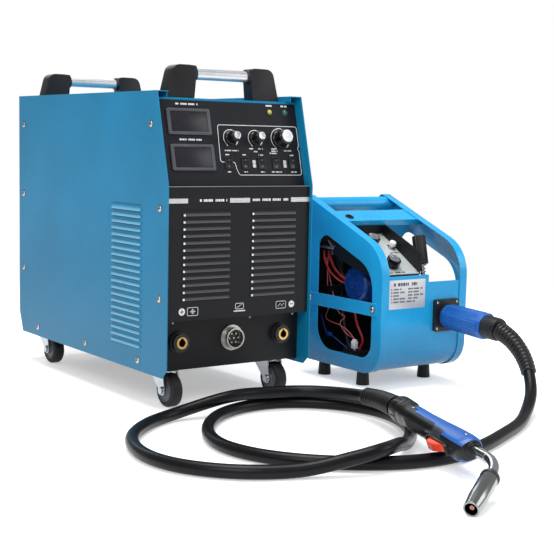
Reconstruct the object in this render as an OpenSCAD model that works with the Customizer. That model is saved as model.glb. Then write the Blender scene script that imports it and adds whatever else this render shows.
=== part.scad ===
// Inverter MIG welder: power source on casters, separate wire feeder, torch and lead.
// Millimetres. +Z is up and Z = 0 is the floor. +Y runs from the front to the back.

/* [Power source cabinet] */
// Width over the two side covers
cab_w = 300; // [280:2:330]
// Depth of the side covers
cab_d = 618; // [590:2:680]
// Height of the side covers
cover_h = 487.5; // [470:0.5:520]
// Height of the vertical front above the covers' lower edge
nose_h = 328; // [318:1:340]
// How far the sloped front runs back at its top
nose_run = 41; // [34:1:52]
// Thickness of the cover sheet
sheet = 1.5; // [1.2:0.1:2]
// Width of the turned-in top flange of a cover
flange_w = 22; // [16:1:28]
// Depth of the top well that the handles stand in
well_d = 10; // [7:1:13]
// How far the vertical front sits behind the covers' edge
front_recess = 7; // [4:1:10]
// Extra set-back of the connector bay
bay_depth = 29; // [24:1:34]
// Height of the connector bay above the covers' lower edge
bay_h = 98; // [90:1:106]
// How far the sloped panel sits behind the covers' edge
slope_recess = 23; // [19:1:27]
// Thickness of the control panel
panel_t = 2.5; // [2:0.5:4]

/* [Louvres] */
// Rows in each bank on the front
front_rows = 13; // [10:1:14]
// Rows in the bank on a side cover
side_rows = 21; // [16:1:23]
// Pitch of the louvre rows
louvre_pitch = 12; // [10:0.5:12.5]
// How far a louvre stands proud
louvre_out = 3; // [2:0.5:4]
// Height of a louvre
louvre_h = 6; // [5:0.5:7]
// Length of a louvre on the front
front_louvre_l = 94; // [80:2:100]
// Length of a louvre on a side cover
side_louvre_l = 105; // [80:5:130]

/* [Casters] */
// Diameter of a caster wheel
wheel_d = 60; // [54:2:70]
// Width of a caster wheel
wheel_w = 24; // [20:1:28]
// Distance from the swivel axis to the wheel axle
trail = 26; // [23:1:30]
// Diameter of the wheel axle
axle_d = 8; // [6:1:10]
// Diameter of the swivel pin
kingpin_d = 10; // [8:1:12]
// Distance of the swivel axes inside the cabinet's sides
caster_in = 39; // [32:1:44]
// Distance of the front swivel axes behind the cabinet's front
caster_front = 82; // [76:1:100]
// Distance of the rear swivel axes before the cabinet's back
caster_rear = 58; // [50:1:80]
// Running clearance on a pin's radius
pin_clear = 0.05; // [0.03:0.01:0.09]

/* [Handles] */
// Diameter of the handle tubes
tube_d = 20; // [16:1:22]
// Length of a handle bracket along the tube
bracket_l = 61; // [56:1:66]
// Width of a handle bracket from front to back
bracket_w = 28; // [26:1:36]
// Height of a handle bracket above the top plate
bracket_h = 57; // [52:1:64]
// Distance of the brackets' outer ends inside the cabinet's sides
bracket_in = 33; // [29:1:37]
// Distance of the rear brackets before the cabinet's back
bracket_rear = 20; // [12:1:40]

/* [Control panel] */
// Width of a meter
meter_w = 86; // [76:2:90]
// Height of a meter
meter_h = 46; // [40:1:48]
// Distance of the meters' centre to the left of the middle
meter_x = 82; // [76:1:84]
// Height of the lower meter's centre up the slope
meter_low = 49; // [46:1:56]
// Distance between the two meters' centres
meter_pitch = 63; // [58:1:66]
// Diameter of the two small knobs
knob_d = 18; // [15:1:22]
// Diameter of the large knob
big_knob_d = 27; // [24:1:30]
// Height of a knob above the panel
knob_h = 22; // [16:1:26]
// Diameter of the knob shafts
shaft_d = 6; // [5:0.5:8]
// Height of the knob row up the slope
knob_row = 85; // [82:1:90]
// Width of a rocker switch
rocker_w = 11; // [9:0.5:12]
// Length of a rocker switch
rocker_l = 17; // [15:0.5:19]
// Height of the rocker row up the slope
rocker_row = 40; // [36:1:46]
// Half of a rocker's throw in degrees
rocker_tilt = 7; // [5:0.5:9]

/* [Connectors] */
// Distance of the output sockets' axes inside the cabinet's sides
socket_in = 43; // [38:1:50]
// Height of the sockets above the covers' lower edge
socket_up = 57; // [52:1:62]
// Bore of an output socket
socket_bore = 13; // [11:0.5:14]
// Depth of an output socket's bore
socket_deep = 24; // [18:1:30]
// How far an output socket stands proud
socket_out = 15; // [12:1:20]
// Diameter of the control socket
control_d = 46; // [40:1:50]

/* [Rear] */
// Diameter of the fan opening
fan_d = 170; // [150:2:190]
// Height of the fan's axis above the covers' lower edge
fan_up = 300; // [280:2:320]
// Clear opening of the mains cable gland
gland_bore = 14; // [12:1:16]

/* [Wire feeder] */
// Width over the side frames
feeder_w = 216; // [200:2:240]
// Depth of the side frames
feeder_d = 256; // [250:2:280]
// Height of the frames' front corner above their lower edge
feeder_front_h = 234; // [228:1:244]
// Rise of the sloped top edge per millimetre
feeder_slope = 0.4; // [0.36:0.01:0.44]
// Gap between the cabinet and the feeder
feeder_gap = 132; // [60:2:200]
// How far the feeder stands forward of the cabinet
feeder_ahead = 46; // [0:2:80]
// Thickness of the frame sheet
frame_t = 2; // [1.5:0.5:3]
// Width of the frames' turned-in rim
rim_w = 18; // [14:1:22]
// Height of the rubber feet
foot_h = 33; // [28:1:40]
// Diameter of the rubber feet
foot_d = 24; // [20:1:30]
// Height of the front plate's left half
pan_high = 188; // [182:1:192]
// Height of the front plate's right half
pan_low = 174; // [168:1:178]
// Diameter of the feeder's handle tube
feeder_tube_d = 30; // [26:1:32]
// Width of the flat cross bar
bar_w = 46; // [40:1:50]

/* [Drive] */
// Diameter of the feed rollers
roller_d = 30; // [26:1:32]
// Height of the wire line above the frames' lower edge
wire_up = 108; // [104:1:112]
// Distance of the wire line to the right of the feeder's middle
wire_x = 54; // [50:1:58]
// Diameter of the drive motor
motor_d = 70; // [60:1:72]
// Diameter of the tension knob
tension_d = 27; // [22:1:28]
// Length of the tension knob
tension_l = 60; // [50:1:64]
// Diameter of the spool hub
hub_d = 50; // [46:1:52]
// Length of the spool hub
hub_l = 56; // [50:1:62]

/* [Torch] */
// Length of the torch body behind the neck
handle_l = 250; // [230:2:270]
// Diameter of the torch neck
neck_d = 15; // [13:1:17]
// Bend of the torch neck in degrees
neck_bend = 47; // [40:1:50]
// Radius of the neck's bend
neck_r = 72; // [60:2:80]
// Length of the gas nozzle
nozzle_l = 88; // [76:1:92]
// Diameter of the gas nozzle at its mouth
nozzle_d = 22; // [20:1:24]
// Diameter of the torch lead
lead_d = 21; // [18:0.5:21]
// Width across the flats of the torch connector
plug_w = 45; // [42:1:48]
// Length of the torch connector
plug_l = 105; // [100:1:110]

/* [Hidden] */
$fn = 48;
eps = 0.01;
seat = 0.3;              // gap between parts that move past each other
snug = 0.05;             // gap between fitted parts of one body

// Caster stack, from the wheel up to the tray
crown_gap = 1.5;
crown_t = 2.5;
race_t = 2;
caster_plate_t = 3;
crown_z = wheel_d + crown_gap;
plate_z = crown_z + crown_t + race_t;
tray_z = plate_z + caster_plate_t;
skirt = 9;               // the covers hang this far below the tray
tray_h = 24;

cab_low = tray_z - skirt;
cab_top = cab_low + cover_h;
top_z = cab_top - well_d;
nose_z = cab_low + nose_h;
bay_top = cab_low + bay_h;
slope_angle = atan2(cab_top - nose_z, nose_run);
lip_h = 4;               // the top plate's bent front edge
slope_len = (top_z - lip_h - seat - nose_z) / sin(slope_angle);
inner_w = cab_w - 2 * sheet - 2 * snug;
rear_recess = 12;
rear_y = cab_d - rear_recess;
front_sheet = 1.5;
handle_y = [slope_recess + nose_run + bracket_w / 2 + 3, cab_d - bracket_rear - bracket_w / 2];
tube_up = bracket_h - tube_d / 2 - 4.5;
socket_z = cab_low + socket_up;
bay_y = front_recess + bay_depth;

// Feeder
feeder_low = foot_h - frame_t - snug;
feeder_in = feeder_w / 2 - frame_t;
wire_z = feeder_low + wire_up;
drive_t = 4;
drive_x = 22;            // left face of the drive plate
roller_y = 84;
roller_w = 12;
lower_z = wire_z - seat / 2 - roller_d / 2;
upper_z = wire_z + seat / 2 + roller_d / 2;
arm_y = roller_y + 42;
arm_z = upper_z + 8;
tension_tilt = 13;
tension_y = 57;
hub_y = 246;
hub_z = feeder_low + 122;
spool_r = 100;           // largest spool that the hub takes

strap_t = 2;
screw_h = 2.5;

// Places of the three set pieces, from the middle of the space that they stand on
cab_x = (louvre_out - feeder_gap - feeder_w) / 2;
cab_y = 29;
feeder_x = cab_x + cab_w / 2 + feeder_gap + feeder_w / 2;
feeder_y = cab_y - feeder_ahead;

// Route of the torch lead over the floor, in the cabinet's frame
lead_route = [
    [444, -188, 130], [442, -226, 115], [437, -260, 90], [424, -288, 62], [398, -317, 37],
    [356, -347, 18], [300, -384, 11], [222, -424, 11], [142, -459, 11], [60, -481, 11],
    [-20, -471, 11], [-90, -436, 11], [-152, -381, 11], [-190, -314, 11], [-197, -240, 11],
    [-166, -160, 11], [-104, -90, 11], [-28, -54, 11], [50, -57, 11], [115, -103, 11],
    [151, -172, 11], [150, -246, 11], [112, -326, 11], [46, -394, 15], [-6, -434, 27],
    [-60, -463, 33], [-110, -455, 25], [-180, -428, 12], [-258, -387, 11], [-312, -317, 11],
    [-324, -236, 11], [-296, -150, 11], [-236, -84, 11], [-160, -46, 13], [-64, -58, 33],
    [10, -60, 33], [80, -84, 33], [122, -146, 36], [124, -226, 42], [95, -318, 47]];
lead_sides = 12;
torch_turn = [-69.7, 0.9, 253.4];
collar_l = 48;

// ---------------------------------------------------------------- helpers

function unit(v) = v / norm(v);
function left_of(v) = [-v[1], v[0]];
function spun(v, a) = [v[0] * cos(a) - v[1] * sin(a), v[0] * sin(a) + v[1] * cos(a)];

// Points of an arc round c from angle a0 to a1
function arc(c, r, a0, a1, n = 8) =
    [for (i = [0:n]) c + r * [cos(a0 + (a1 - a0) * i / n), sin(a0 + (a1 - a0) * i / n)]];

// A counter-clockwise polygon moved inwards by d
function inset(p, d) = [for (i = [0:len(p) - 1])
    let (m = len(p), b = p[i], n1 = left_of(unit(b - p[(i + m - 1) % m])),
         n2 = left_of(unit(p[(i + 1) % m] - b)))
    b + d * (n1 + n2) / (1 + n1 * n2)];

// A counter-clockwise convex polygon with its corners rounded to the radii r
function rounded(p, r, n = 6) = [for (i = [0:len(p) - 1])
    let (m = len(p), b = p[i], u1 = unit(b - p[(i + m - 1) % m]),
         u2 = unit(p[(i + 1) % m] - b), turn = acos(u1 * u2),
         start = b - r[i] * tan(turn / 2) * u1, centre = start + r[i] * left_of(u1))
    for (k = [0:n]) centre + spun(start - centre, turn * k / n)];

// A folded sheet's profile: an open line and its copy t to the left of it
function folded(p, t) = let (m = len(p)) concat(p, [for (i = [m - 1:-1:0])
    let (n1 = left_of(unit(i > 0 ? p[i] - p[i - 1] : p[1] - p[0])),
         n2 = left_of(unit(i < m - 1 ? p[i + 1] - p[i] : p[m - 1] - p[m - 2])))
    p[i] + t * (n1 + n2) / (1 + n1 * n2)]);

function box_corners(w, h) = [[-w / 2, -h / 2], [w / 2, -h / 2], [w / 2, h / 2], [-w / 2, h / 2]];
function same(v, n) = [for (i = [1:n]) v];

// A profile drawn in Y and Z, pulled out along X from x0
module along_x(x0, l) translate([x0, 0, 0]) rotate([90, 0, 90]) linear_extrude(l) children();

// A rod along X, Y or Z between two places
module rod_x(x0, x1, r) translate([x0, 0, 0]) rotate([0, 90, 0]) cylinder(r = r, h = x1 - x0);
module rod_y(y0, y1, r) translate([0, y1, 0]) rotate([90, 0, 0]) cylinder(r = r, h = y1 - y0);

module rounded_plate(w, h, t, r) linear_extrude(t) polygon(rounded(box_corners(w, h), same(r, 4)));

// A curve through a list of points, two rings to each stretch
function route_at(p, i) = let (m = len(p) - 1)
    i < 0 ? 2 * p[0] - p[1] : i > m ? 2 * p[m] - p[m - 1] : p[i];
function curve(p, n) = concat([for (i = [0:len(p) - 2]) for (k = [0:n - 1])
    let (t = k / n, a = route_at(p, i - 1), b = p[i], c = p[i + 1], d = route_at(p, i + 2))
    (2 * b + (c - a) * t + (2 * a - 5 * b + 4 * c - d) * t * t
        + (3 * b - a - 3 * c + d) * t * t * t) / 2], [p[len(p) - 1]]);
function heading(c, i) = unit(c[min(i + 1, len(c) - 1)] - c[max(i - 1, 0)]);
function flat_to(v, t) = unit(v - (v * t) * t);
function sides_of(c, v0) = [for (i = 0, n = flat_to(v0, heading(c, 0)); i < len(c);
    i = i + 1, n = i < len(c) ? flat_to(n, heading(c, i)) : n) n];

// Rings of points round a curve, of radius r[i] at its point i
function rings(c, r, sides, v0 = [0, 0, 1]) = let (n = sides_of(c, v0))
    [for (i = [0:len(c) - 1]) let (t = heading(c, i), b = cross(t, n[i]))
        [for (k = [0:sides - 1]) c[i] + r[i] * (cos(360 * k / sides) * n[i]
            + sin(360 * k / sides) * b)]];

// Triangles between two rings that start at points a and b
function skin(a, b, m) = [for (k = [0:m - 1]) let (j = (k + 1) % m)
    for (f = [[a + k, b + k, b + j], [a + k, b + j, a + j]]) f];

// A closed solid through a list of rings
module loft(g) {
    m = len(g[0]);
    last = len(g) - 1;
    pts = [for (q = g) for (p = q) p];
    polyhedron(pts, concat(
        [for (i = [0:last - 1]) for (f = skin(i * m, (i + 1) * m, m)) f],
        [[for (k = [0:m - 1]) k], [for (k = [m - 1:-1:0]) last * m + k]]));
}

// A sleeve between outer and inner rings of the same curve
module sleeve(outer, inner) {
    m = len(outer[0]);
    last = len(outer) - 1;
    far = m * len(outer);
    pts = concat([for (q = outer) for (p = q) p], [for (q = inner) for (p = q) p]);
    polyhedron(pts, concat(
        [for (i = [0:last - 1]) for (f = skin(i * m, (i + 1) * m, m)) f],
        [for (i = [0:last - 1]) for (f = skin(far + (i + 1) * m, far + i * m, m)) f],
        skin(far, 0, m), skin(last * m, far + last * m, m)));
}

// ---------------------------------------------------------------- places

module at_cabinet() translate([cab_x, cab_y, 0]) children();
module at_feeder() translate([feeder_x, feeder_y, 0]) children();
module at_torch() at_cabinet() translate(lead_route[len(lead_route) - 1]) rotate(torch_turn)
    children();
// The slope's own frame: X across, Y up the slope, Z out of the panel
module on_slope() translate([0, slope_recess, nose_z]) rotate([slope_angle, 0, 0]) children();
// The drive's frame: in the plane of the wire, on the plate's right face
module on_drive(y, z) translate([drive_x + drive_t, y, z]) children();

caster_x = cab_w / 2 - caster_in;
caster_places = [[-caster_x, caster_front], [caster_x, caster_front],
    [-caster_x, cab_d - caster_rear], [caster_x, cab_d - caster_rear]];
// The rows keep their share of the slope's length
row_share = slope_len / 149.92;
knob_y = knob_row * row_share;
rocker_y = rocker_row * row_share;
lamp_y = 134 * row_share;
meter_tall = meter_h * row_share;
knob_places = [[0, knob_y], [52, knob_y], [106, knob_y]];
knob_sizes = [knob_d, knob_d, big_knob_d];
rocker_xs = [-10, 24.5, 60, 91, 128];
lamp_xs = [90, 124];
meter_places = [for (h = [meter_low, meter_low + meter_pitch]) [-meter_x, h * row_share]];

// ---------------------------------------------------------------- cabinet shell

cover_outline = [[16, cab_low], [cab_d - 16, cab_low], [cab_d, cab_low + 41], [cab_d, cab_top],
    [nose_run, cab_top], [0, nose_z], [0, cab_low + 15]];

// A bank of pressed louvres: rows of hoods that open downwards, in Y (proud to -Y) and Z
function hood(z) = [for (k = [0:4]) [-louvre_out * cos(22.5 * k), z + louvre_h * sin(22.5 * k)]];
function hood_in(z) = [for (k = [4:-1:0])
    [-(louvre_out - 1) * cos(22.5 * k) + 0.2, z + (louvre_h - 1) * sin(22.5 * k)]];
module louvre_bank(l, rows, t) {
    strip = louvre_pitch;
    along_x(0, l) for (i = [0:rows - 1]) polygon(concat(hood(i * strip),
        [[0, (i + 1) * strip], [t, (i + 1) * strip], [t, i * strip + louvre_h - 1]],
        [for (p = hood_in(i * strip)) if (p[0] < -0.2) p]));
    for (x = [0, l - 1]) along_x(x, 1) for (i = [0:rows - 1])
        polygon(concat(hood(i * strip), [[0, (i + 1) * strip], [t, (i + 1) * strip], [t, i * strip]]));
}

side_bank_h = side_rows * louvre_pitch;
side_bank_y = 93;
side_bank_z = cab_low + 41;
module cover_shape() {
    // The pressed side with its louvres
    difference() {
        along_x(-cab_w / 2, sheet) polygon(cover_outline);
        translate([-cab_w / 2 - 1, side_bank_y, side_bank_z])
            cube([sheet + 2, side_louvre_l, side_bank_h]);
    }
    translate([-cab_w / 2, side_bank_y + side_louvre_l, side_bank_z]) rotate([0, 0, -90])
        louvre_bank(side_louvre_l, side_rows, sheet);
    // The top flange and its lip
    translate([-cab_w / 2 + sheet, nose_run, cab_top - sheet])
        cube([flange_w - sheet, cab_d - nose_run, sheet]);
    translate([-cab_w / 2 + flange_w - sheet, nose_run + 4, top_z])
        cube([sheet, cab_d - nose_run - 4, well_d - sheet]);
    // The rear return that closes the back edge
    translate([-cab_w / 2 + sheet, cab_d - sheet, cab_low + 41])
        cube([10, sheet, cab_top - sheet - cab_low - 41]);
}

module left_cover() color("#2596c8") at_cabinet() cover_shape();
module right_cover() color("#2596c8") at_cabinet() mirror([1, 0, 0]) cover_shape();

module base_tray() color("#26282b") at_cabinet() {
    difference() {
        translate([-inner_w / 2, bay_y + front_sheet, tray_z])
            cube([inner_w, rear_y - bay_y - front_sheet, tray_h]);
        translate([-inner_w / 2 + 2, bay_y + front_sheet + 2, tray_z + 2])
            cube([inner_w - 4, rear_y - bay_y - front_sheet - 4, tray_h]);
    }
    // Caster plates with their swivel pins
    for (c = caster_places) translate([c[0], c[1], 0]) {
        translate([0, 0, plate_z]) rounded_plate(56, 56, caster_plate_t, 6);
        translate([0, 0, crown_z - 4.3]) cylinder(d = kingpin_d, h = plate_z - crown_z + 4.3);
        translate([0, 0, crown_z - 4.3]) cylinder(d = kingpin_d + 6, h = 4);
    }
}

module top_plate() color("#2190c4") at_cabinet() {
    front = slope_recess + (top_z - nose_z) / tan(slope_angle) - 0.5;
    translate([-inner_w / 2, front, top_z - sheet]) cube([inner_w, rear_y - front, sheet]);
    translate([-inner_w / 2, front, top_z - lip_h]) cube([inner_w, sheet, lip_h]);
}

module control_panel() color("#1d1e21") at_cabinet() on_slope() difference() {
    translate([-inner_w / 2, 0, -panel_t]) cube([inner_w, slope_len, panel_t]);
    for (p = meter_places) translate([p[0], p[1], -panel_t - 1])
        rounded_plate(meter_w - 6, meter_tall - 6, panel_t + 2, 2);
    for (p = knob_places) translate([p[0], p[1], -panel_t - 1])
        cylinder(d = shaft_d + 2 * pin_clear, h = panel_t + 2);
    for (x = rocker_xs) translate([x, rocker_y, 0])
        cube([rocker_w + 3.4, rocker_l + 3.4, 3 * panel_t], center = true);
    for (x = lamp_xs) translate([x, lamp_y, -panel_t - 1]) cylinder(d = 8.2, h = panel_t + 2);
}

// One folded sheet: the louvred front, the shelf over the bay and the connector bay
front_line = [[slope_recess, nose_z - seat], [front_recess, nose_z - seat], [front_recess, bay_top],
    [bay_y, bay_top], [bay_y, tray_z - front_sheet - snug],
    [bay_y + 12, tray_z - front_sheet - snug]];
socket_x = cab_w / 2 - socket_in;
louvre_low = bay_top + 35;
louvre_cx = 70;
module front_panel() color("#202124") at_cabinet() {
    difference() {
        along_x(-inner_w / 2, inner_w) polygon(folded(front_line, front_sheet));
        for (s = [-1, 1]) translate([s * louvre_cx - front_louvre_l / 2, front_recess - 1, louvre_low])
            cube([front_louvre_l, front_sheet + 2, front_rows * louvre_pitch]);
        for (s = [-1, 1]) translate([s * socket_x, 0, socket_z])
            rod_y(bay_y - 1, bay_y + 3, socket_bore / 2 + 4);
        translate([3, 0, socket_z]) rod_y(bay_y - 1, bay_y + 3, control_d / 2 - 7);
    }
    for (s = [-1, 1]) translate([s * louvre_cx - front_louvre_l / 2, front_recess, louvre_low])
        louvre_bank(front_louvre_l, front_rows, front_sheet);
}

module rear_panel() color("#202124") at_cabinet() difference() {
    translate([-inner_w / 2, rear_y, tray_z])
        cube([inner_w, sheet, top_z - tray_z]);
    translate([0, 0, cab_low + fan_up]) rod_y(rear_y - 1, rear_y + sheet + 1, fan_d / 2 - 4);
    translate([-88, rear_y - 1, cab_low + 66]) cube([56, sheet + 2, 70]);
    translate([96, 0, cab_low + 66]) rod_y(rear_y - 1, rear_y + sheet + 1, gland_bore / 2 + 4);
    translate([30, 0, cab_low + 110]) rod_y(rear_y - 1, rear_y + sheet + 1, 13);
}

// ---------------------------------------------------------------- handles

bracket_span = cab_w - 2 * bracket_in;
module handle_bracket() {
    outline = rounded([[0, 0], [bracket_l - 5, 0], [bracket_l, bracket_h], [12, bracket_h]],
        [2, 2, 7, 10]);
    difference() {
        translate([0, bracket_w / 2, 0]) rotate([90, 0, 0]) linear_extrude(bracket_w) polygon(outline);
        translate([bracket_l - 32, 0, tube_up]) rod_x(0, 40, tube_d / 2 + snug);
        // Grooves pressed across the top
        for (x = [26, 35, 44]) translate([x, 0, bracket_h]) rotate([90, 0, 0])
            cylinder(r = 1.6, h = bracket_w + 2, center = true);
    }
}
module handle_brackets() color("#1f2124") at_cabinet() for (y = handle_y) {
    translate([-bracket_span / 2, y, top_z]) handle_bracket();
    translate([bracket_span / 2, y, top_z]) mirror([1, 0, 0]) handle_bracket();
}
module handle_tubes() color("#c9ccd0") at_cabinet() for (y = handle_y)
    translate([0, y, top_z + tube_up]) rod_x(-bracket_span / 2 + bracket_l - 31.5,
        bracket_span / 2 - bracket_l + 31.5, tube_d / 2);

// ---------------------------------------------------------------- control panel parts

module meter() {
    bezel = 3;
    difference() {
        rounded_plate(meter_w, meter_tall, bezel, 3);
        translate([0, 0, bezel - 1.5]) rounded_plate(meter_w - 12, meter_tall - 10, 3, 1);
    }
    translate([0, 0, -26]) rounded_plate(meter_w - 6.6, meter_tall - 6.6, 26, 2);
}
module panel_displays() color("#17181a") at_cabinet() on_slope() {
    for (p = meter_places) translate([p[0], p[1], 0]) meter();
    for (x = lamp_xs) translate([x, lamp_y, -8]) {
        cylinder(d = 8, h = 9);
        cylinder(d = 6, h = 11);
        translate([0, 0, 8]) cylinder(d = 11, h = 1.2);
    }
}

// A turning knob with its skirt, its cap and its shaft
module knob(d, h) {
    translate([0, 0, seat]) rotate_extrude() polygon([[0, 0], [d / 2 + 3, 0], [d / 2 + 3, 3],
        [d / 2 + 1.5, 4.5], [d / 2 + 0.8, h - 2], [d / 2 - 0.4, h - 1], [d / 2 - 1.4, h - 1],
        [d / 2 - 1.6, h], [0, h]]);
    translate([0, 0, -12]) cylinder(d = shaft_d, h = 13);
    for (a = [0:30:330]) rotate([0, 0, a]) translate([d / 2 + 0.9, 0, h / 2 + 1])
        cube([1.6, 1.6, h - 9], center = true);
}
module panel_knob(i) color("#1b1c1e") at_cabinet() on_slope()
    translate([knob_places[i][0], knob_places[i][1], 0]) knob(knob_sizes[i], knob_h + 2 * (i > 1 ? 1 : 0));
module inductance_knob() panel_knob(0);
module arc_force_knob() panel_knob(1);
module current_knob() panel_knob(2);

// Rocker switches: the frames snap into the panel, the paddles rock on their pins
rocker_pin = 2.4;
rocker_deep = 3;
module rocker_frames() color("#141517") at_cabinet() on_slope() for (x = rocker_xs)
    translate([x, rocker_y, 0]) difference() {
        union() {
            rounded_plate(rocker_w + 5, rocker_l + 5, 1.8, 1.5);
            translate([0, 0, -7]) cube([rocker_w + 3, rocker_l + 3, 14], center = true);
        }
        translate([0, 0, -4]) cube([rocker_w + 0.6, rocker_l + 1, 14], center = true);
        translate([0, 0, -rocker_deep]) rod_x(-rocker_w, rocker_w, rocker_pin / 2 + pin_clear);
    }
module rocker(i) color("#101113") at_cabinet() on_slope()
    translate([rocker_xs[i], rocker_y, -rocker_deep]) rotate([rocker_tilt, 0, 0]) {
        half = rocker_l / 2 - 0.5;
        along_x(-rocker_w / 2, rocker_w) polygon([[-half, 1], [-half * 0.6, -2.4], [0, -3.4],
            [half * 0.6, -2.4], [half, 1], [half, rocker_deep + 2.2], [half * 0.5, rocker_deep + 1.3],
            [0, rocker_deep + 1], [-half * 0.5, rocker_deep + 1.3], [-half, rocker_deep + 2.2]]);
        rod_x(-rocker_w / 2 - 1.6, rocker_w / 2 + 1.6, rocker_pin / 2);
    }
module gas_test_rocker() rocker(0);
module mode_rocker() rocker(1);
module wire_rocker() rocker(2);
module step_rocker() rocker(3);
module remote_rocker() rocker(4);

// ---------------------------------------------------------------- front connectors

// Insulating collar and brass socket with its bayonet groove
module output_sockets() color("#b98f45") at_cabinet() for (s = [-1, 1])
    translate([s * socket_x, bay_y, socket_z]) rotate([90, 0, 0]) {
        difference() {
            union() {
                cylinder(d = socket_bore + 24, h = 5);
                cylinder(d = socket_bore + 19, h = socket_out - 2);
            }
            translate([0, 0, -1]) cylinder(d = socket_bore + 8 + 2 * snug, h = socket_out + 2);
        }
        difference() {
            translate([0, 0, socket_out - socket_deep - 6])
                cylinder(d = socket_bore + 8 - 2 * snug, h = socket_deep + 6);
            translate([0, 0, socket_out - socket_deep]) cylinder(d = socket_bore, h = socket_deep + 1);
            translate([0, socket_bore / 2, socket_out - 3]) cube([5, 5, 8], center = true);
        }
    }

// Round control socket: flange, threaded barrel and the pins in their insert
module control_socket() color("#b5b8bb") at_cabinet() translate([3, bay_y, socket_z])
    rotate([90, 0, 0]) {
        difference() {
            union() {
                cylinder(d = control_d, h = 3);
                cylinder(d = control_d - 9, h = 15);
                translate([0, 0, -10]) cylinder(d = control_d - 15, h = 11);
            }
            translate([0, 0, 4]) cylinder(d = control_d - 14, h = 12);
        }
        for (k = [0:5]) rotate([0, 0, 60 * k]) translate([9, 0, 3.9]) cylinder(d = 3, h = 5);
        translate([0, 0, 3.9]) cylinder(d = 3, h = 5);
    }

screw_d = 9;
module screw_head() rotate_extrude() polygon([[0, 0], [screw_d / 2, 0], [screw_d / 2, 0.8],
    [screw_d * 0.36, 2], [0, screw_h]]);
// ---------------------------------------------------------------- casters

module fork(i) color("#b9bcc0") at_cabinet() translate([caster_places[i][0], caster_places[i][1], 0]) {
    leg_t = 2.5;
    gap = wheel_w / 2 + 1.5;
    axle_z = wheel_d / 2;
    leg = concat([[23, crown_z + crown_t], [-28, crown_z + crown_t]],
        arc([-trail, axle_z], axle_d / 2 + 5, 172, 348, 10));
    difference() {
        union() {
            // Crown with its raised race
            difference() {
                translate([0, 0, crown_z]) cylinder(d = 50, h = crown_t);
                for (s = [-1, 1]) translate([s * (gap + leg_t + 25), 0, crown_z])
                    cube([50, 60, 20], center = true);
            }
            translate([0, 0, crown_z + crown_t - eps]) cylinder(d = 34, h = race_t - seat + eps);
            for (x = [-gap - leg_t, gap]) along_x(x, leg_t) polygon(leg);
        }
        translate([0, 0, crown_z - 1]) cylinder(d = kingpin_d + 2 * pin_clear, h = 12);
    }
    // Axle bolt with its head and nut
    translate([0, -trail, axle_z]) {
        rod_x(-gap - leg_t - 4, gap + leg_t + 4, axle_d / 2);
        rod_x(-gap - leg_t - 4, -gap - leg_t, axle_d / 2 + 2.5);
        rod_x(gap + leg_t, gap + leg_t + 4, axle_d / 2 + 2.5);
    }
}
module wheel(i) color("#2a2b2d") at_cabinet()
    translate([caster_places[i][0], caster_places[i][1] - trail, wheel_d / 2]) rotate([0, 90, 0]) {
        r = wheel_d / 2;
        w = wheel_w / 2;
        hub_r = r * 0.68;
        rotate_extrude($fn = 64) polygon(concat([[hub_r + snug, -w + 3], [r - 7, -w + 0.5]],
            arc([r - 6, -w + 6.5], 6, -90, 0, 4), arc([r - 6, w - 6.5], 6, 0, 90, 4),
            [[r - 7, w - 0.5], [hub_r + snug, w - 3]]));
        difference() {
            rotate_extrude($fn = 64) polygon([[axle_d / 2 + 5, -w - 1], [axle_d / 2 + 6, -w + 3],
                [hub_r, -w + 4], [hub_r, w - 4], [axle_d / 2 + 6, w - 3], [axle_d / 2 + 5, w + 1],
                [0, w + 1], [0, -w - 1]]);
            translate([0, 0, -w - 2]) cylinder(d = axle_d + 2 * pin_clear, h = 2 * w + 4);
        }
    }
module front_left_fork() fork(0);
module front_right_fork() fork(1);
module rear_left_fork() fork(2);
module rear_right_fork() fork(3);
module front_left_wheel() wheel(0);
module front_right_wheel() wheel(1);
module rear_left_wheel() wheel(2);
module rear_right_wheel() wheel(3);

// ---------------------------------------------------------------- rear of the cabinet

fan_r = fan_d / 2;
motor_r = 27;
fan_pin = 6;
module fan_frame() color("#2b2d30") at_cabinet() translate([0, rear_y, cab_low + fan_up])
    rotate([90, 0, 0]) {
        // Venturi ring inside, with the arms and motor
        difference() {
            cylinder(r = fan_r + 3, h = 38, $fn = 72);
            translate([0, 0, -1]) cylinder(r = fan_r, h = 40, $fn = 72);
        }
        for (a = [45:90:315]) rotate([0, 0, a]) translate([motor_r - 2, -3, 32])
            cube([fan_r + 1 - motor_r + 2, 6, 6]);
        translate([0, 0, 32]) cylinder(r = motor_r, h = 20);
        translate([0, 0, 4]) cylinder(d = fan_pin, h = 30);
        // Finger guard outside: flat rings on four bars
        translate([0, 0, -sheet]) mirror([0, 0, 1]) {
            for (r = [20:13:fan_r]) translate([0, 0, 3.9]) difference() {
                cylinder(r = r + 1.1, h = 2, $fn = 72);
                translate([0, 0, -1]) cylinder(r = r - 1.1, h = 4, $fn = 72);
            }
            for (a = [45:90:315]) rotate([0, 0, a]) {
                translate([18, -1.2, 2.2]) cube([fan_r - 10, 2.4, 1.9]);
                translate([fan_r + 4, 0, 0]) cylinder(r = 6, h = 3);
            }
        }
    }
module fan_rotor() color("#1c1d1f") at_cabinet() translate([0, rear_y, cab_low + fan_up])
    rotate([90, 0, 0]) {
        difference() {
            translate([0, 0, 5]) cylinder(r = motor_r - 2, h = 24);
            translate([0, 0, 4]) cylinder(d = fan_pin + 2 * pin_clear, h = 30);
        }
        for (k = [0:6]) rotate([0, 0, k * 360 / 7]) intersection() {
            translate([fan_r / 2 + 6, 0, 17]) rotate([32, 0, 0])
                cube([fan_r - motor_r + 14, 38, 2], center = true);
            difference() {
                translate([0, 0, 5]) cylinder(r = fan_r - 3, h = 24);
                translate([0, 0, 4]) cylinder(r = motor_r - 3, h = 26);
            }
        }
    }

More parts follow.
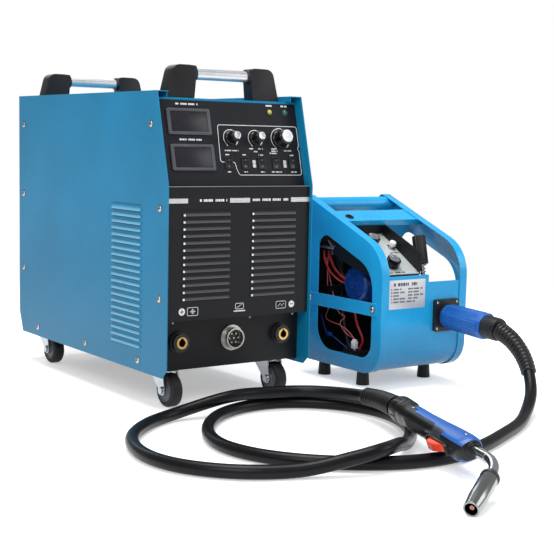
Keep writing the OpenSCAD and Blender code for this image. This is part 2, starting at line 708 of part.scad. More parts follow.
breaker_z = cab_low + 101;
lever_r = 8;
module rear_fittings() color("#33363a") at_cabinet() {
    // Breaker body with its well for the lever
    difference() {
        translate([-87.7, rear_y - 60, breaker_z - 34.7]) cube([55.4, 70, 69.4]);
        translate([-60, rear_y + 4, breaker_z]) cube([16, 30, 40], center = true);
        translate([-60, rear_y + 2, breaker_z]) rod_x(-12, 12, 2 + pin_clear);
    }
    // Cable gland: hexagon, dome and a bore right through
    translate([96, rear_y + sheet, cab_low + 66]) rotate([-90, 0, 0]) difference() {
        union() {
            cylinder(d = gland_bore + 16, h = 7, $fn = 6);
            rotate_extrude() polygon([[0, 7 - eps], [gland_bore / 2 + 7, 7 - eps],
                [gland_bore / 2 + 7, 16], [gland_bore / 2 + 3, 24], [0, 24]]);
            translate([0, 0, -14]) cylinder(d = gland_bore + 8 - 2 * snug, h = 15);
        }
        translate([0, 0, -15]) cylinder(d = gland_bore, h = 41);
    }
    // Two-pole outlet for the gas heater
    translate([30, rear_y + sheet, cab_low + 110]) rotate([-90, 0, 0]) difference() {
        union() {
            cylinder(d = 36, h = 4);
            translate([0, 0, -22]) cylinder(d = 25.8, h = 23);
        }
        translate([0, 0, -14]) cylinder(d = 21, h = 20);
    }
    // Earth stud with its nuts
    translate([96, rear_y + sheet, cab_low + 30]) rotate([-90, 0, 0]) {
        cylinder(d = 16, h = 2);
        translate([0, 0, 2]) cylinder(d = 13, h = 6, $fn = 6);
        cylinder(d = 8, h = 20);
    }
}
module breaker_lever() color("#17181a") at_cabinet() translate([-60, rear_y + 2, breaker_z])
    rotate([-20, 0, 0]) {
        rod_x(-9.5, 9.5, 2);
        rod_x(-7.6, 7.6, lever_r - 1);
        translate([-5, 0, -3.5]) cube([10, 24, 7]);
    }

module power_unit() color("#8f9297") at_cabinet() {
    floor_z = tray_z + 2;
    sink_y = rear_y - 276;
    // Finned heat sink with its module plate
    for (k = [0:13]) translate([-110 + 8 * k, sink_y, floor_z]) cube([2.4, 190, 150]);
    translate([-110, sink_y, floor_z + 150 - eps]) cube([106.4, 190, 10]);
    translate([-90, sink_y + 30, floor_z + 160]) cube([62, 108, 17]);
    // Main transformer: windings round a rectangular core
    translate([70, sink_y, floor_z]) {
        difference() {
            translate([-45, -60, 0]) cube([90, 120, 130]);
            translate([-46, -30, 30]) cube([92, 60, 70]);
        }
        for (y = [-45, 45]) translate([0, y, 32]) difference() {
            translate([-56, -26, 0]) cube([112, 52, 66]);
            translate([-45 - snug, -15 - snug, -1]) cube([90 + 2 * snug, 30 + 2 * snug, 68]);
        }
    }
    // Output choke
    translate([60, rear_y * 0.28, floor_z]) difference() {
        translate([-45, -45, 0]) cube([90, 90, 110]);
        translate([-46, -18, 25]) cube([92, 36, 60]);
    }
}

// ---------------------------------------------------------------- wire feeder

frame_corners = [[0, feeder_low], [feeder_d, feeder_low],
    [feeder_d, feeder_low + feeder_front_h + feeder_slope * feeder_d],
    [0, feeder_low + feeder_front_h]];
frame_radii = [52, 22, 14, 75];
function frame_outline(d) = rounded(inset(frame_corners, d), [for (r = frame_radii) r - d], 8);
window_low = feeder_low + 29;
window_corners = [[28, window_low], [feeder_d - 59, window_low],
    [feeder_d - 59, feeder_low + feeder_front_h - 36 + feeder_slope * (feeder_d - 87)],
    [28, feeder_low + feeder_front_h - 36]];
slope_turn = atan(feeder_slope);

module frame_shape() {
    along_x(-feeder_w / 2, frame_t) difference() {
        polygon(frame_outline(0));
        polygon(rounded(window_corners, [30, 45, 24, 60], 8));
    }
    along_x(-feeder_w / 2, rim_w) difference() {
        polygon(frame_outline(0));
        polygon(frame_outline(frame_t));
    }
}
// Gate in the right side's rear edge, through which the spool goes onto its hub
gate_r = spool_r + 4;
module spool_gate() along_x(feeder_w / 2 - rim_w - 1, rim_w + 2) {
    polygon(rounded([[hub_y - gate_r, hub_z - gate_r], [feeder_d + 10, hub_z - gate_r],
        [feeder_d + 10, hub_z + gate_r], [hub_y - gate_r, hub_z + gate_r]], [60, 1, 1, 8]));
    translate([feeder_d - 59, hub_z + gate_r]) polygon([[-3, -3], [17, -3], [-3, 17]]);
}
module feeder_frames() color("#2f9fd4") at_feeder() {
    frame_shape();
    difference() {
        mirror([1, 0, 0]) frame_shape();
        spool_gate();
    }
}

// Front plate and floor in one bent sheet, inside the rims
pan_t = 2;
pan_step = 10;
pan_back = hub_z - gate_r - feeder_low;   // its rear edge, under the spool
module feeder_pan() color("#3aa5d6") at_feeder() {
    in = feeder_in - snug;
    hole_x = wire_x;
    difference() {
        along_x(-in, 2 * in) intersection() {
            difference() {
                polygon(frame_outline(frame_t + snug));
                polygon(frame_outline(frame_t + snug + pan_t));
            }
            translate([0, feeder_low]) polygon([[-1, -1], [feeder_d + 1, -1], [feeder_d + 1, pan_back],
                [80, pan_back], [30, 80], [20, pan_high], [-1, pan_high]]);
        }
        translate([pan_step, -1, feeder_low + pan_low]) cube([in, 20, 40]);
        translate([hole_x, 0, wire_z]) rod_y(-1, 12, 19);
    }
}

tube_y = feeder_d - 20;
tube_z = feeder_low + feeder_front_h + feeder_slope * tube_y
    - (feeder_tube_d / 2 + frame_t + snug) / cos(slope_turn);
bar_y = 131;
module feeder_bars() color("#35a2d6") at_feeder() {
    in = feeder_in;
    // Handle tube under the highest corner
    translate([0, tube_y, tube_z]) rod_x(-in, in, feeder_tube_d / 2);
    // Flat cross bar with a bent front lip and a rope hole
    translate([0, bar_y, feeder_low + feeder_front_h + feeder_slope * bar_y
        - (frame_t + snug) / cos(slope_turn)]) rotate([slope_turn, 0, 0]) difference() {
        along_x(-in, 2 * in) polygon(folded([[2, -13], [0, 0], [bar_w, 0], [bar_w - 1, -9]], -2));
        translate([-72, 18, -5]) cylinder(d = 13, h = 10);
    }
    // Strap over the left window, with its screws
    along_x(-feeder_w / 2 - strap_t, strap_t) translate([feeder_d / 2 - 6, feeder_low + 125])
        polygon(rounded(box_corners(feeder_d - 36, 25), same(4, 4)));
    for (y = [25, feeder_d - 36]) translate([-feeder_w / 2 - strap_t, y, feeder_low + 125])
        rotate([0, -90, 0]) screw_head();
}

module feeder_feet() color("#222325") at_feeder() for (x = [-79, 79]) for (y = [84, feeder_d - 50])
    translate([x, y, 0]) difference() {
        rotate_extrude() polygon([[0, 0], [foot_d / 2 + 1, 0], [foot_d / 2 + 1, 3],
            [foot_d / 2 - 1, foot_h - 1.5], [foot_d / 2 - 2, foot_h - frame_t - snug],
            [0, foot_h - frame_t - snug]]);
        translate([0, 0, -1]) cylinder(d = 12, h = 8);
    }

// Upright plate that carries the drive on its right and the motor on its left
module drive_plate() color("#2b2d30") at_feeder() {
    // Post and pin that the pressure arm swings on
    translate([0, arm_y, arm_z]) {
        rod_x(drive_x + drive_t - eps, wire_x - arm_gap - 4 - seat, 8);
        rod_x(drive_x + drive_t, wire_x + arm_gap + 4 + seat, 4);
        rod_x(wire_x + arm_gap + 4 + seat - eps, wire_x + arm_gap + 7, 6.5);
    }
    drive_plate_sheet();
}
module drive_plate_sheet() difference() {
    floor_z = feeder_low + frame_t + snug + pan_t;
    top = feeder_low + 228;
    along_x(drive_x, drive_t) intersection() {
        polygon(rounded([[40, floor_z], [hub_y + 30, floor_z], [hub_y + 30, hub_z + 34],
            [180, top], [60, top - 30], [22, wire_z + 40], [22, wire_z - 40]],
            [4, 12, 30, 20, 20, 12, 12], 5));
        // It stands inside the pan's bends and reaches back over its rear edge
        union() {
            polygon(frame_outline(frame_t + snug + pan_t + seat));
            translate([0, feeder_low + pan_back + seat]) square(500);
        }
    }
    translate([0, roller_y, lower_z]) rod_x(drive_x - 1, drive_x + drive_t + 1, 5 + pin_clear);
    translate([0, hub_y, hub_z]) rod_x(drive_x - 1, drive_x + drive_t + 1, 5 + pin_clear);
}

module drive_motor() color("#1d3f8a") at_feeder() {
    gear_y = roller_y;
    motor_y = 134;
    motor_z = feeder_low + 159;
    // Gearbox against the plate, then the motor can and its end bell
    difference() {
        along_x(drive_x - 30, 30) polygon(rounded([[gear_y - 24, lower_z - 24],
            [gear_y + 40, lower_z - 24], [motor_y + 30, motor_z + 26], [motor_y - 34, motor_z + 26]],
            [10, 10, 24, 24]));
        translate([0, gear_y, lower_z]) rod_x(drive_x - 20, drive_x + 1, 5 + pin_clear);
    }
    translate([0, motor_y, motor_z]) {
        rod_x(drive_x - 82, drive_x - 30 + eps, motor_d / 2);
        rod_x(drive_x - 88, drive_x - 82 + eps, motor_d / 2 - 5);
        rod_x(drive_x - 94, drive_x - 88 + eps, 9);
    }
}

module grooved_roller(bore) rotate([0, 90, 0]) rotate_extrude() polygon([[bore, -roller_w / 2],
    [roller_d / 2, -roller_w / 2], [roller_d / 2, -1], [roller_d / 2 - 0.8, 0], [roller_d / 2, 1],
    [roller_d / 2, roller_w / 2], [bore, roller_w / 2]]);
module drive_roller() color("#c4c7ca") at_feeder() translate([0, roller_y, lower_z]) {
    translate([wire_x, 0, 0]) grooved_roller(0);
    rod_x(drive_x - 18, wire_x - 2, 5);
    rod_x(wire_x + 2, wire_x + roller_w / 2 + 6, 9);
}
module idler_roller() color("#c4c7ca") at_feeder() translate([wire_x, roller_y, upper_z])
    grooved_roller(4 + pin_clear);

// Pressure arm: two cheeks on a rear pivot, a pin for the idler and a forked nose
arm_gap = roller_w / 2 + 1;
module pressure_arm() color("#8e9195") at_feeder() translate([wire_x, 0, 0]) {
    cheek = [[tension_y - 12, upper_z + 6], [roller_y, upper_z - 9], [arm_y, arm_z - 10],
        [arm_y + 10, arm_z], [arm_y, arm_z + 10], [roller_y, upper_z + 18],
        [tension_y - 12, upper_z + 16]];
    difference() {
        for (x = [-arm_gap - 4, arm_gap]) along_x(x, 4) polygon(cheek);
        translate([0, arm_y, arm_z]) rod_x(-20, 20, 4 + pin_clear);
    }
    difference() {
        along_x(-arm_gap, 2 * arm_gap) polygon([[tension_y - 12, upper_z + 6],
            [tension_y + 10, upper_z + 6], [tension_y + 10, upper_z + 16],
            [tension_y - 12, upper_z + 16]]);
        translate([0, tension_y, upper_z + 11]) rotate([-tension_tilt, 0, 0])
            cylinder(d = 6 + 2 * pin_clear, h = 60, center = true);
    }
    translate([0, roller_y, upper_z]) rod_x(-arm_gap - 2, arm_gap + 2, 4);
}
// Tension knob on its threaded stem, turning in the arm's nose
module tension_knob() color("#151618") at_feeder() translate([wire_x, tension_y, upper_z + 11])
    rotate([-tension_tilt, 0, 0]) {
        translate([0, 0, -14]) cylinder(d = 6, h = 90);
        translate([0, 0, -14]) cylinder(d = 10, h = 6);
        // Turns of the pressure spring under the knob
        for (k = [0:8]) translate([0, 0, 8 + 6.6 * k]) cylinder(d = 13, h = 3);
        translate([0, 0, 8]) cylinder(d = 9, h = 60);
        translate([0, 0, 66]) rotate_extrude() polygon([[0, 0], [tension_d / 2 - 3, 0],
            [tension_d / 2, 4], [tension_d / 2, tension_l - 3], [tension_d / 2 - 2, tension_l],
            [0, tension_l]]);
    }

module euro_socket() color("#1c1d20") at_feeder() translate([wire_x, frame_t + snug, wire_z])
    rotate([90, 0, 0]) {
        // Square flange with the socket face, and the body behind it
        difference() {
            union() {
                rounded_plate(62, 62, 7, 5);
                cylinder(d = 40, h = 9);
            }
            translate([0, 0, 3]) cylinder(d = 30, h = 8);
            cylinder(d = 10, h = 30, center = true);
        }
        difference() {
            translate([0, 0, -24]) cylinder(d = 36, h = 25);
            translate([0, 0, -25]) cylinder(d = 10, h = 30);
        }
        // Inlet guide that leads the wire in from the rollers
        translate([0, 0, -roller_y + 24]) difference() {
            cylinder(d = 9.6, h = roller_y - 40);
            translate([0, 0, -1]) cylinder(d = 2.5, h = roller_y - 30);
        }
    }

// Remote box: a wedge whose cheeks and back stand over its sloped face
remote_turn = 30.5;
remote_l = 136;
remote_x = -96;
remote_w = 108;
remote_y = 29;
remote_z = feeder_low + pan_high + seat;
remote_knobs = [[remote_w / 2, 27], [remote_w / 2, 101]];
button_at = [remote_w - 13, 86];
module on_remote() translate([remote_x, remote_y, remote_z]) rotate([remote_turn, 0, 0]) children();
module remote_box() color("#202225") at_feeder() {
    face = 2;
    on_remote() difference() {
        union() {
            along_x(0, remote_w) polygon([[0, -face], [2, -8], [64, -30], [remote_l, -44],
                [remote_l, -face]]);
            for (x = [0, remote_w - 3]) along_x(x, 3) polygon(concat([[0, -face - eps],
                [remote_l, -face - eps], [remote_l, 20]], arc([18, 29], 6, 80, 170, 5)));
            translate([0, remote_l - 3, -face - eps]) cube([remote_w, 3, 22]);
        }
        for (p = remote_knobs) translate([p[0], p[1], -10]) cylinder(d = 8, h = 20);
        translate([button_at[0], button_at[1], -16]) cylinder(d = 9, h = 20);
    }
    // Bracket to the drive plate
    translate([remote_x + remote_w - eps, 64, remote_z + 10]) cube([drive_x - remote_x - remote_w, 30, 3]);
}
module remote_face() color("#c3c6c8") at_feeder() on_remote() difference() {
    translate([3 + snug, 0, -2 + snug]) cube([remote_w - 6 - 2 * snug, remote_l - 3 - snug, 2]);
    for (p = remote_knobs) translate([p[0], p[1], -3]) cylinder(d = shaft_d + 2 * pin_clear, h = 5);
    translate([button_at[0], button_at[1], -3]) cylinder(d = 8 + 2 * pin_clear, h = 5);
}
module remote_knob(i) color("#151618") at_feeder() on_remote()
    translate([remote_knobs[i][0], remote_knobs[i][1], snug]) knob_low(24, 19);
module knob_low(d, h) {
    translate([0, 0, seat]) rotate_extrude() polygon([[0, 0], [d / 2 + 2, 0], [d / 2 + 2, 3],
        [d / 2, 4.5], [d / 2 - 0.6, h - 1], [d / 2 - 1.6, h], [0, h]]);
    translate([0, 0, -8]) cylinder(d = shaft_d, h = 9);
    for (a = [0:30:330]) rotate([0, 0, a]) translate([d / 2, 0, h / 2 + 1.5])
        cube([1.6, 1.6, h - 7], center = true);
}
// Push button: a cap on a stem that slides through the face
module remote_button() color("#e8e9ea") at_feeder() on_remote()
    translate([button_at[0], button_at[1], 0]) {
        translate([0, 0, -8]) cylinder(d = 8, h = 16);
        translate([0, 0, 6]) rotate_extrude() polygon([[0, 0], [7, 0], [7, 6], [6, 8], [3.5, 9], [0, 9]]);
    }
module remote_voltage_knob() remote_knob(0);
module remote_current_knob() remote_knob(1);

// Rear plate of the left bay with the inlet fittings and the gas valve
module feeder_rear_panel() color("#2b2d30") at_feeder() {
    floor_z = feeder_low + frame_t + snug + pan_t;
    y = feeder_d - 20;
    in = feeder_in - snug;
    translate([-in, y, floor_z + 0.6]) cube([drive_x - snug + in, 2, 267.4]);
    translate([-60, y + 2, floor_z + 50]) rotate([-90, 0, 0]) {
        cylinder(d = 34, h = 5);
        cylinder(d = 22, h = 26);
    }
    translate([-20, y + 2, floor_z + 110]) rotate([-90, 0, 0]) {
        cylinder(d = 30, h = 3);
        difference() {
            cylinder(d = 24, h = 14);
            translate([0, 0, 3]) cylinder(d = 19, h = 14);
        }
    }
    translate([-70, y + 2, floor_z + 130]) rotate([-90, 0, 0]) {
        cylinder(d = 14, h = 8, $fn = 6);
        cylinder(d = 9, h = 24);
    }
    // Gas valve inside
    translate([-70, y, floor_z + 130]) rotate([90, 0, 0]) cylinder(d = 12, h = 16);
    translate([-86, y - 46, floor_z + 114]) cube([32, 31, 32]);
}

module spool_hub() color("#d8dadb") at_feeder() translate([0, hub_y, hub_z]) {
    x0 = drive_x + drive_t;
    rod_x(x0 + seat, x0 + 6, hub_d / 2 + 8);
    rod_x(x0 + 6 - eps, x0 + 6 + hub_l, hub_d / 2);
    rod_x(drive_x - 6, x0 + 1, 5);
    rod_x(drive_x - 8, drive_x - seat, 7);
}

// Inner leads of the feeder, each a tube along its own short route, and their terminal block
wiring = [
    [5, [[-60, feeder_d - 26, 266], [-60, 216, 254], [-60, 198, 232], [-58, 184, 208], [-57, 178, 199.5],
        [-56, 168.8, 196.2]]],
    [6, [[-36, feeder_d - 26, 250], [-36, 220, 219], [-38, 210, 170], [-40, 198, 110], [-46, 172, 62],
        [-54, 146, 50]]],
    [2.5, [[-54, 128, 59], [-52, 120, 80], [-56, 134, 110], [-50, 150, 136], [-46, 156.4, 159.4]]]];
module feeder_wiring() color("#8c1d1d") at_feeder() {
    for (w = wiring) {
        c = curve(w[1], 3);
        loft(rings(c, same(w[0], len(c)), 8, [1, 0, 0]));
    }
    translate([-78, 100, feeder_low + frame_t + snug + pan_t]) cube([34, 48, 26]);
}

// ---------------------------------------------------------------- torch lead

lead_curve = curve(lead_route, 2);
function part_of(l, a, b) = [for (i = [a:b]) l[i]];
module torch_lead() color("#232427") at_cabinet()
    loft(rings(lead_curve, same(lead_d / 2, len(lead_curve)), lead_sides));

// Bend reliefs over both ends of the lead: tapered sleeves with raised ribs
module boot(c, r0, r1) {
    m = len(c) - 1;
    outer = rings(c, [for (i = [0:m]) r0 + (r1 - r0) * i / m], lead_sides);
    inner = rings(c, same((lead_d / 2 + 0.6) / cos(180 / lead_sides), m + 1), lead_sides);
    sleeve(outer, inner);
}
module lead_boots() color("#1d1e21") at_cabinet() {
    fine = curve(lead_route, 4);
    boot(part_of(fine, 1, 4 * 3), 16, lead_d / 2 + 2.6);
    back = [for (i = [len(fine) - 1:-1:len(fine) - 1 - 5]) fine[i]];
    boot(back, 16, lead_d / 2 + 3);
}

plug_y = feeder_ahead + 9;
plug_tilt = 3.4;
plug_collar = 32;
module torch_connector() color("#2b62c4") at_cabinet()
    translate([cab_w / 2 + feeder_gap + feeder_w / 2 + wire_x, -plug_y, wire_z - 1.5])
    rotate([90 + plug_tilt, 0, 0]) {
        // Eight-sided grip that widens to the rear, then the round collar
        rotate([0, 0, 22.5]) cylinder(d1 = plug_w / cos(22.5), d2 = (plug_w + 3) / cos(22.5),
            h = plug_l, $fn = 8);
        translate([0, 0, plug_l - eps]) cylinder(d = plug_w - 2, h = plug_collar);
    }

// ---------------------------------------------------------------- torch

// Stations of the grip: place, half width, top and bottom
grip = [[0, 20, 20, -20], [8, 21, 21, -21], [40, 20, 20, -20], [collar_l, 17.5, 17.5, -17.5],
    [100, 16, 16, -17], [150, 16.5, 17, -19], [190, 17.5, 18, -24], [228, 18, 18, -26],
    [handle_l - 6, 17, 17, -25], [handle_l, 14, 14, -21]];
grip_sides = 24;
function oval(a) = let (c = cos(a), s = sin(a)) [sign(c) * pow(abs(c), 0.8), sign(s) * pow(abs(s), 0.8)];
function grip_ring(g, grow = 0) = [for (k = [0:grip_sides - 1]) let (q = oval(-360 * k / grip_sides))
    [g[0], q[0] * (g[1] + grow), (g[2] + g[3]) / 2 + q[1] * ((g[2] - g[3]) / 2 + grow)]];
trigger_x = [160, 212];
trigger_pin = [trigger_x[1] - 4, -16];
module torch_handle() color("#1b1c1f") at_torch() difference() {
    loft([for (g = grip) grip_ring(g)]);
    // Slot for the trigger with its pin hole, and the neck's bore
    translate([trigger_x[0], -6.6, -40]) cube([trigger_x[1] - trigger_x[0], 13.2, 28]);
    translate([trigger_pin[0], -9, trigger_pin[1]]) rotate([-90, 0, 0])
        cylinder(r = 1.5 + pin_clear, h = 18);
    translate([handle_l - 30, 0, 0]) rod_x(0, 40, neck_d / 2 + snug);
}
module torch_trigger() color("#d8502c") at_torch() {
    translate([trigger_pin[0], -6.2, trigger_pin[1]]) rotate([-90, 0, 0]) linear_extrude(12.4)
        polygon([[-46, 5], [-4, -3.2], [3, -3], [4, 2], [0, 8], [-8, 12], [-20, 18.5], [-34, 20],
        [-43, 16]]);
    translate([trigger_pin[0], -8, trigger_pin[1]]) rotate([-90, 0, 0]) cylinder(r = 1.5, h = 16);
}

neck_out = 40;
neck_rest = 5;
module torch_neck() color("#b9bcbf") at_torch() {
    translate([handle_l - 29, 0, 0]) rod_x(0, 28 + neck_out, neck_d / 2);
    // Ferrules over the ends of the bend
    translate([handle_l + neck_out, 0, 0]) rod_x(-4, 3, neck_d / 2 + 0.5);
    at_neck_end() rod_x(-2.5, 0.5, neck_d / 2 + 0.5);
    translate([handle_l + neck_out, 0, -neck_r]) rotate([90, 0, 0]) rotate([0, 0, 90])
        mirror([0, 1, 0]) rotate_extrude(angle = neck_bend) translate([neck_r, 0]) circle(d = neck_d);
    at_neck_end() {
        rod_x(0.3, neck_rest, neck_d / 2);
        // Gas diffuser and contact tip
        rod_x(neck_rest, neck_rest + 26, 5.5);
        difference() {
            translate([neck_rest + 26 - eps, 0, 0]) rotate([0, 90, 0])
                cylinder(d1 = 8, d2 = 6, h = nozzle_l - 34);
            rod_x(neck_rest + 40, neck_rest + nozzle_l, 0.8);
        }
    }
}
module at_neck_end() translate([handle_l + neck_out, 0, -neck_r]) rotate([0, neck_bend, 0])
    translate([0, 0, neck_r]) children();

module gas_nozzle() color("#c9cbcd") at_torch() at_neck_end() translate([neck_rest - 4, 0, 0])
    rotate([0, 90, 0]) rotate_extrude() polygon([[neck_d / 2 + snug, 0], [12, 0], [12.8, 4],
        [12.8, nozzle_l - 26], [nozzle_d / 2, nozzle_l - 4], [nozzle_d / 2 - 0.5, nozzle_l],
        [nozzle_d / 2 - 2.5, nozzle_l], [nozzle_d / 2 - 2.5, nozzle_l - 20], [10, nozzle_l - 28],
        [10, 10], [neck_d / 2 + snug, 10]]);

// ---------------------------------------------------------------- assembly

base_tray();
left_cover();
right_cover();
top_plate();
rear_panel();
control_panel();
front_panel();
handle_brackets();
handle_tubes();
panel_displays();
inductance_knob();
arc_force_knob();
current_knob();
gas_test_rocker();
mode_rocker();
wire_rocker();
step_rocker();
remote_rocker();
rocker_frames();
output_sockets();
control_socket();
front_left_fork();
front_right_fork();
rear_left_fork();
rear_right_fork();
front_left_wheel();
front_right_wheel();
rear_left_wheel();
rear_right_wheel();
fan_frame();
fan_rotor();
rear_fittings();
breaker_lever();
power_unit();
feeder_frames();
feeder_pan();
feeder_bars();
drive_plate();
remote_box();
remote_face();
remote_voltage_knob();
remote_current_knob();
remote_button();
drive_motor();
drive_roller();
pressure_arm();
idler_roller();
tension_knob();
euro_socket();
feeder_feet();
feeder_rear_panel();
spool_hub();
feeder_wiring();
torch_connector();
lead_boots();
torch_lead();
torch_handle();
torch_trigger();
torch_neck();
gas_nozzle();
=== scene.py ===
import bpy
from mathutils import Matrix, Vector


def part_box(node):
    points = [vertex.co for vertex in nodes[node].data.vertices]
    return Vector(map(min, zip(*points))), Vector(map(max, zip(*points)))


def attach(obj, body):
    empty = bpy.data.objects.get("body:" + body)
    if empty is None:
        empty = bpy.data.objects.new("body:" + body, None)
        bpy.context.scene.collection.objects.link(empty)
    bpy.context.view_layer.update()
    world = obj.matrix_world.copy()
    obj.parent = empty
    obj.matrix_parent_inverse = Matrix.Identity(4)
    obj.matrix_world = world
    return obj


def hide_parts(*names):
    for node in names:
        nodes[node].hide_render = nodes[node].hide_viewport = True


bl_info = {
    "name": "MIG welding set",
    "version": (1, 0, 0),
    "blender": (4, 5, 0),
    "location": "3D View > Sidebar > Welder",
    "description": "Dresses a MIG power source, its wire feeder and its torch with finishes and detail",
    "category": "Object",
}

from math import atan2, cos, degrees, pi, radians, sin

import bpy
from mathutils import Matrix, Vector

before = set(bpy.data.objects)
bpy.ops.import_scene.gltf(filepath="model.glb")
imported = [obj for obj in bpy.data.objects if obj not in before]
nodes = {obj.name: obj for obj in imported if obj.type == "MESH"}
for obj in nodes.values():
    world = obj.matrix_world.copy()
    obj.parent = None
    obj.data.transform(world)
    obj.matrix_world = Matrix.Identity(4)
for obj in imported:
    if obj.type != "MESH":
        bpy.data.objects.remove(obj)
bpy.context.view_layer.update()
MM = 0.001

# ---------------------------------------------------------------- places


def shift(x, y, z):
    """A move in millimetres."""
    return Matrix.Translation((x * MM, y * MM, z * MM))


def turned(angle, axis):
    """A turn in degrees about an axis."""
    return Matrix.Rotation(radians(angle), 4, axis)


CABINET = shift(-172.5, 29, 0)
FEEDER = shift(217.5, -17, 0)
# An upright face as a drawing plane: X across it, Y up and Z out of it
FACING_FRONT = turned(90, "X")
SLOPE = CABINET @ shift(0, 23, 388) @ turned(75.584, "X")
FRONT = CABINET @ shift(0, 7, 0) @ FACING_FRONT
BAY = CABINET @ shift(0, 36, 0) @ FACING_FRONT
REAR = CABINET @ shift(0, 607.5, 0) @ turned(180, "Z") @ FACING_FRONT
REMOTE = FEEDER @ shift(-96, 29, 219.25) @ turned(30.5, "X")
FEEDER_FRONT = FEEDER @ shift(0, 2.05, 0) @ FACING_FRONT
FEEDER_REAR = FEEDER @ shift(0, 238, 0) @ turned(-90, "X")
SOCKET_PLATE = FEEDER @ shift(54, -4.95, 138.95) @ FACING_FRONT
TENSION = FEEDER @ shift(54, 57, 165.1) @ turned(-13, "X")
# The lead's plug points down out of the feeder, and the torch lies on its flank at the lead's other end
PLUG = CABINET @ shift(444, -55, 137.45) @ turned(93.4, "X")
TORCH = CABINET @ shift(95, -318, 47) @ turned(253.4, "Z") @ turned(0.9, "Y") @ turned(-69.7, "X")
NECK_END = TORCH @ shift(290, 0, -72) @ turned(47, "Y") @ shift(0, 0, 72)

# ---------------------------------------------------------------- sizes and colours


def linear(hex_code):
    """An sRGB hex value as the linear colour that a shader takes."""
    parts = [int(hex_code[i:i + 2], 16) / 255 for i in (1, 3, 5)]
    return tuple(c / 12.92 if c <= 0.04045 else ((c + 0.055) / 1.055) ** 2.4 for c in parts) + (1.0,)


def as_hex(parts):
    """Three channels from 0 to 255 as a hex value."""
    return "#" + "".join("%02x" % max(0, min(255, round(p))) for p in parts)


def plain_hex(values):
    """The stored linear colour of a property as sRGB hex."""
    return as_hex(255 * (c * 12.92 if c <= 0.0031308 else 1.055 * c ** (1 / 2.4) - 0.055) for c in values)


def shade(hex_code, by):
    """The same hex colour made darker or lighter."""
    return as_hex(int(hex_code[i:i + 2], 16) * by for i in (1, 3, 5))


def colour(name, hex_code, description):
    return bpy.props.FloatVectorProperty(name=name, subtype="COLOR", size=3, min=0, max=1,
                                         default=linear(hex_code)[:3], description=description)


class WelderSizes(bpy.types.PropertyGroup):
    screw_width: bpy.props.FloatProperty(
        name="Cover screw width", default=0.0112, min=0.006, max=0.012, subtype="DISTANCE",
        description="Width of the pan heads that hold the covers")
    lead_width: bpy.props.FloatProperty(
        name="Lead width", default=0.021, min=0.018, max=0.022, subtype="DISTANCE",
        description="Outer diameter of the torch lead")
    frame_round: bpy.props.FloatProperty(
        name="Feeder frame rounding", default=0.0024, min=0.0005, max=0.003, subtype="DISTANCE",
        description="Radius of the fold round the feeder's side frames")
    print_height: bpy.props.FloatProperty(
        name="Print thickness", default=0.0002, min=0.0001, max=0.0005, subtype="DISTANCE",
        description="How far screen print stands on its panel")


class WelderColours(bpy.types.PropertyGroup):
    cabinet: colour("Cabinet blue", "#1184b3", "Powder coat of the power source's covers")
    feeder: colour("Feeder blue", "#22a6e2", "Powder coat of the wire feeder")
    panel: colour("Panel black", "#1d1e25", "Powder coat of the front and rear panels")
    trigger: colour("Trigger orange", "#e8431f", "Moulded trigger of the torch")
    torch: colour("Torch blue", "#1762bb", "Moulded trim of the torch and its connector")


# ---------------------------------------------------------------- materials


def add(tree, kind, sockets=(), out=0, **settings):
    """Adds a node, sets it up, fills or links its sockets by name or in their order, and gives one output."""
    node = tree.nodes.new("ShaderNode" + kind)
    for key, value in settings.items():
        setattr(node, key, value)
    for key, value in sockets.items() if isinstance(sockets, dict) else enumerate(sockets):
        socket = node.inputs[key]
        if isinstance(value, bpy.types.NodeSocket):
            tree.links.new(value, socket)
        else:
            socket.default_value = value
    return node if out is None else node.outputs[out]


def blank(name):
    """A new material with its empty tree and its object coordinates."""
    material = bpy.data.materials.new(name)
    material.use_nodes = True
    tree = material.node_tree
    tree.nodes.clear()
    return material, tree, add(tree, "TexCoord", out="Object")


def layered(tree, base, layers):
    """Lays colours over a first one, each as far as its mask says."""
    over = linear(base)
    for mask, tint in layers:
        over = add(tree, "Mix", {"Factor": mask, "A": over, "B": linear(tint) if isinstance(tint, str) else tint},
                   "Result", data_type="RGBA")
    return over


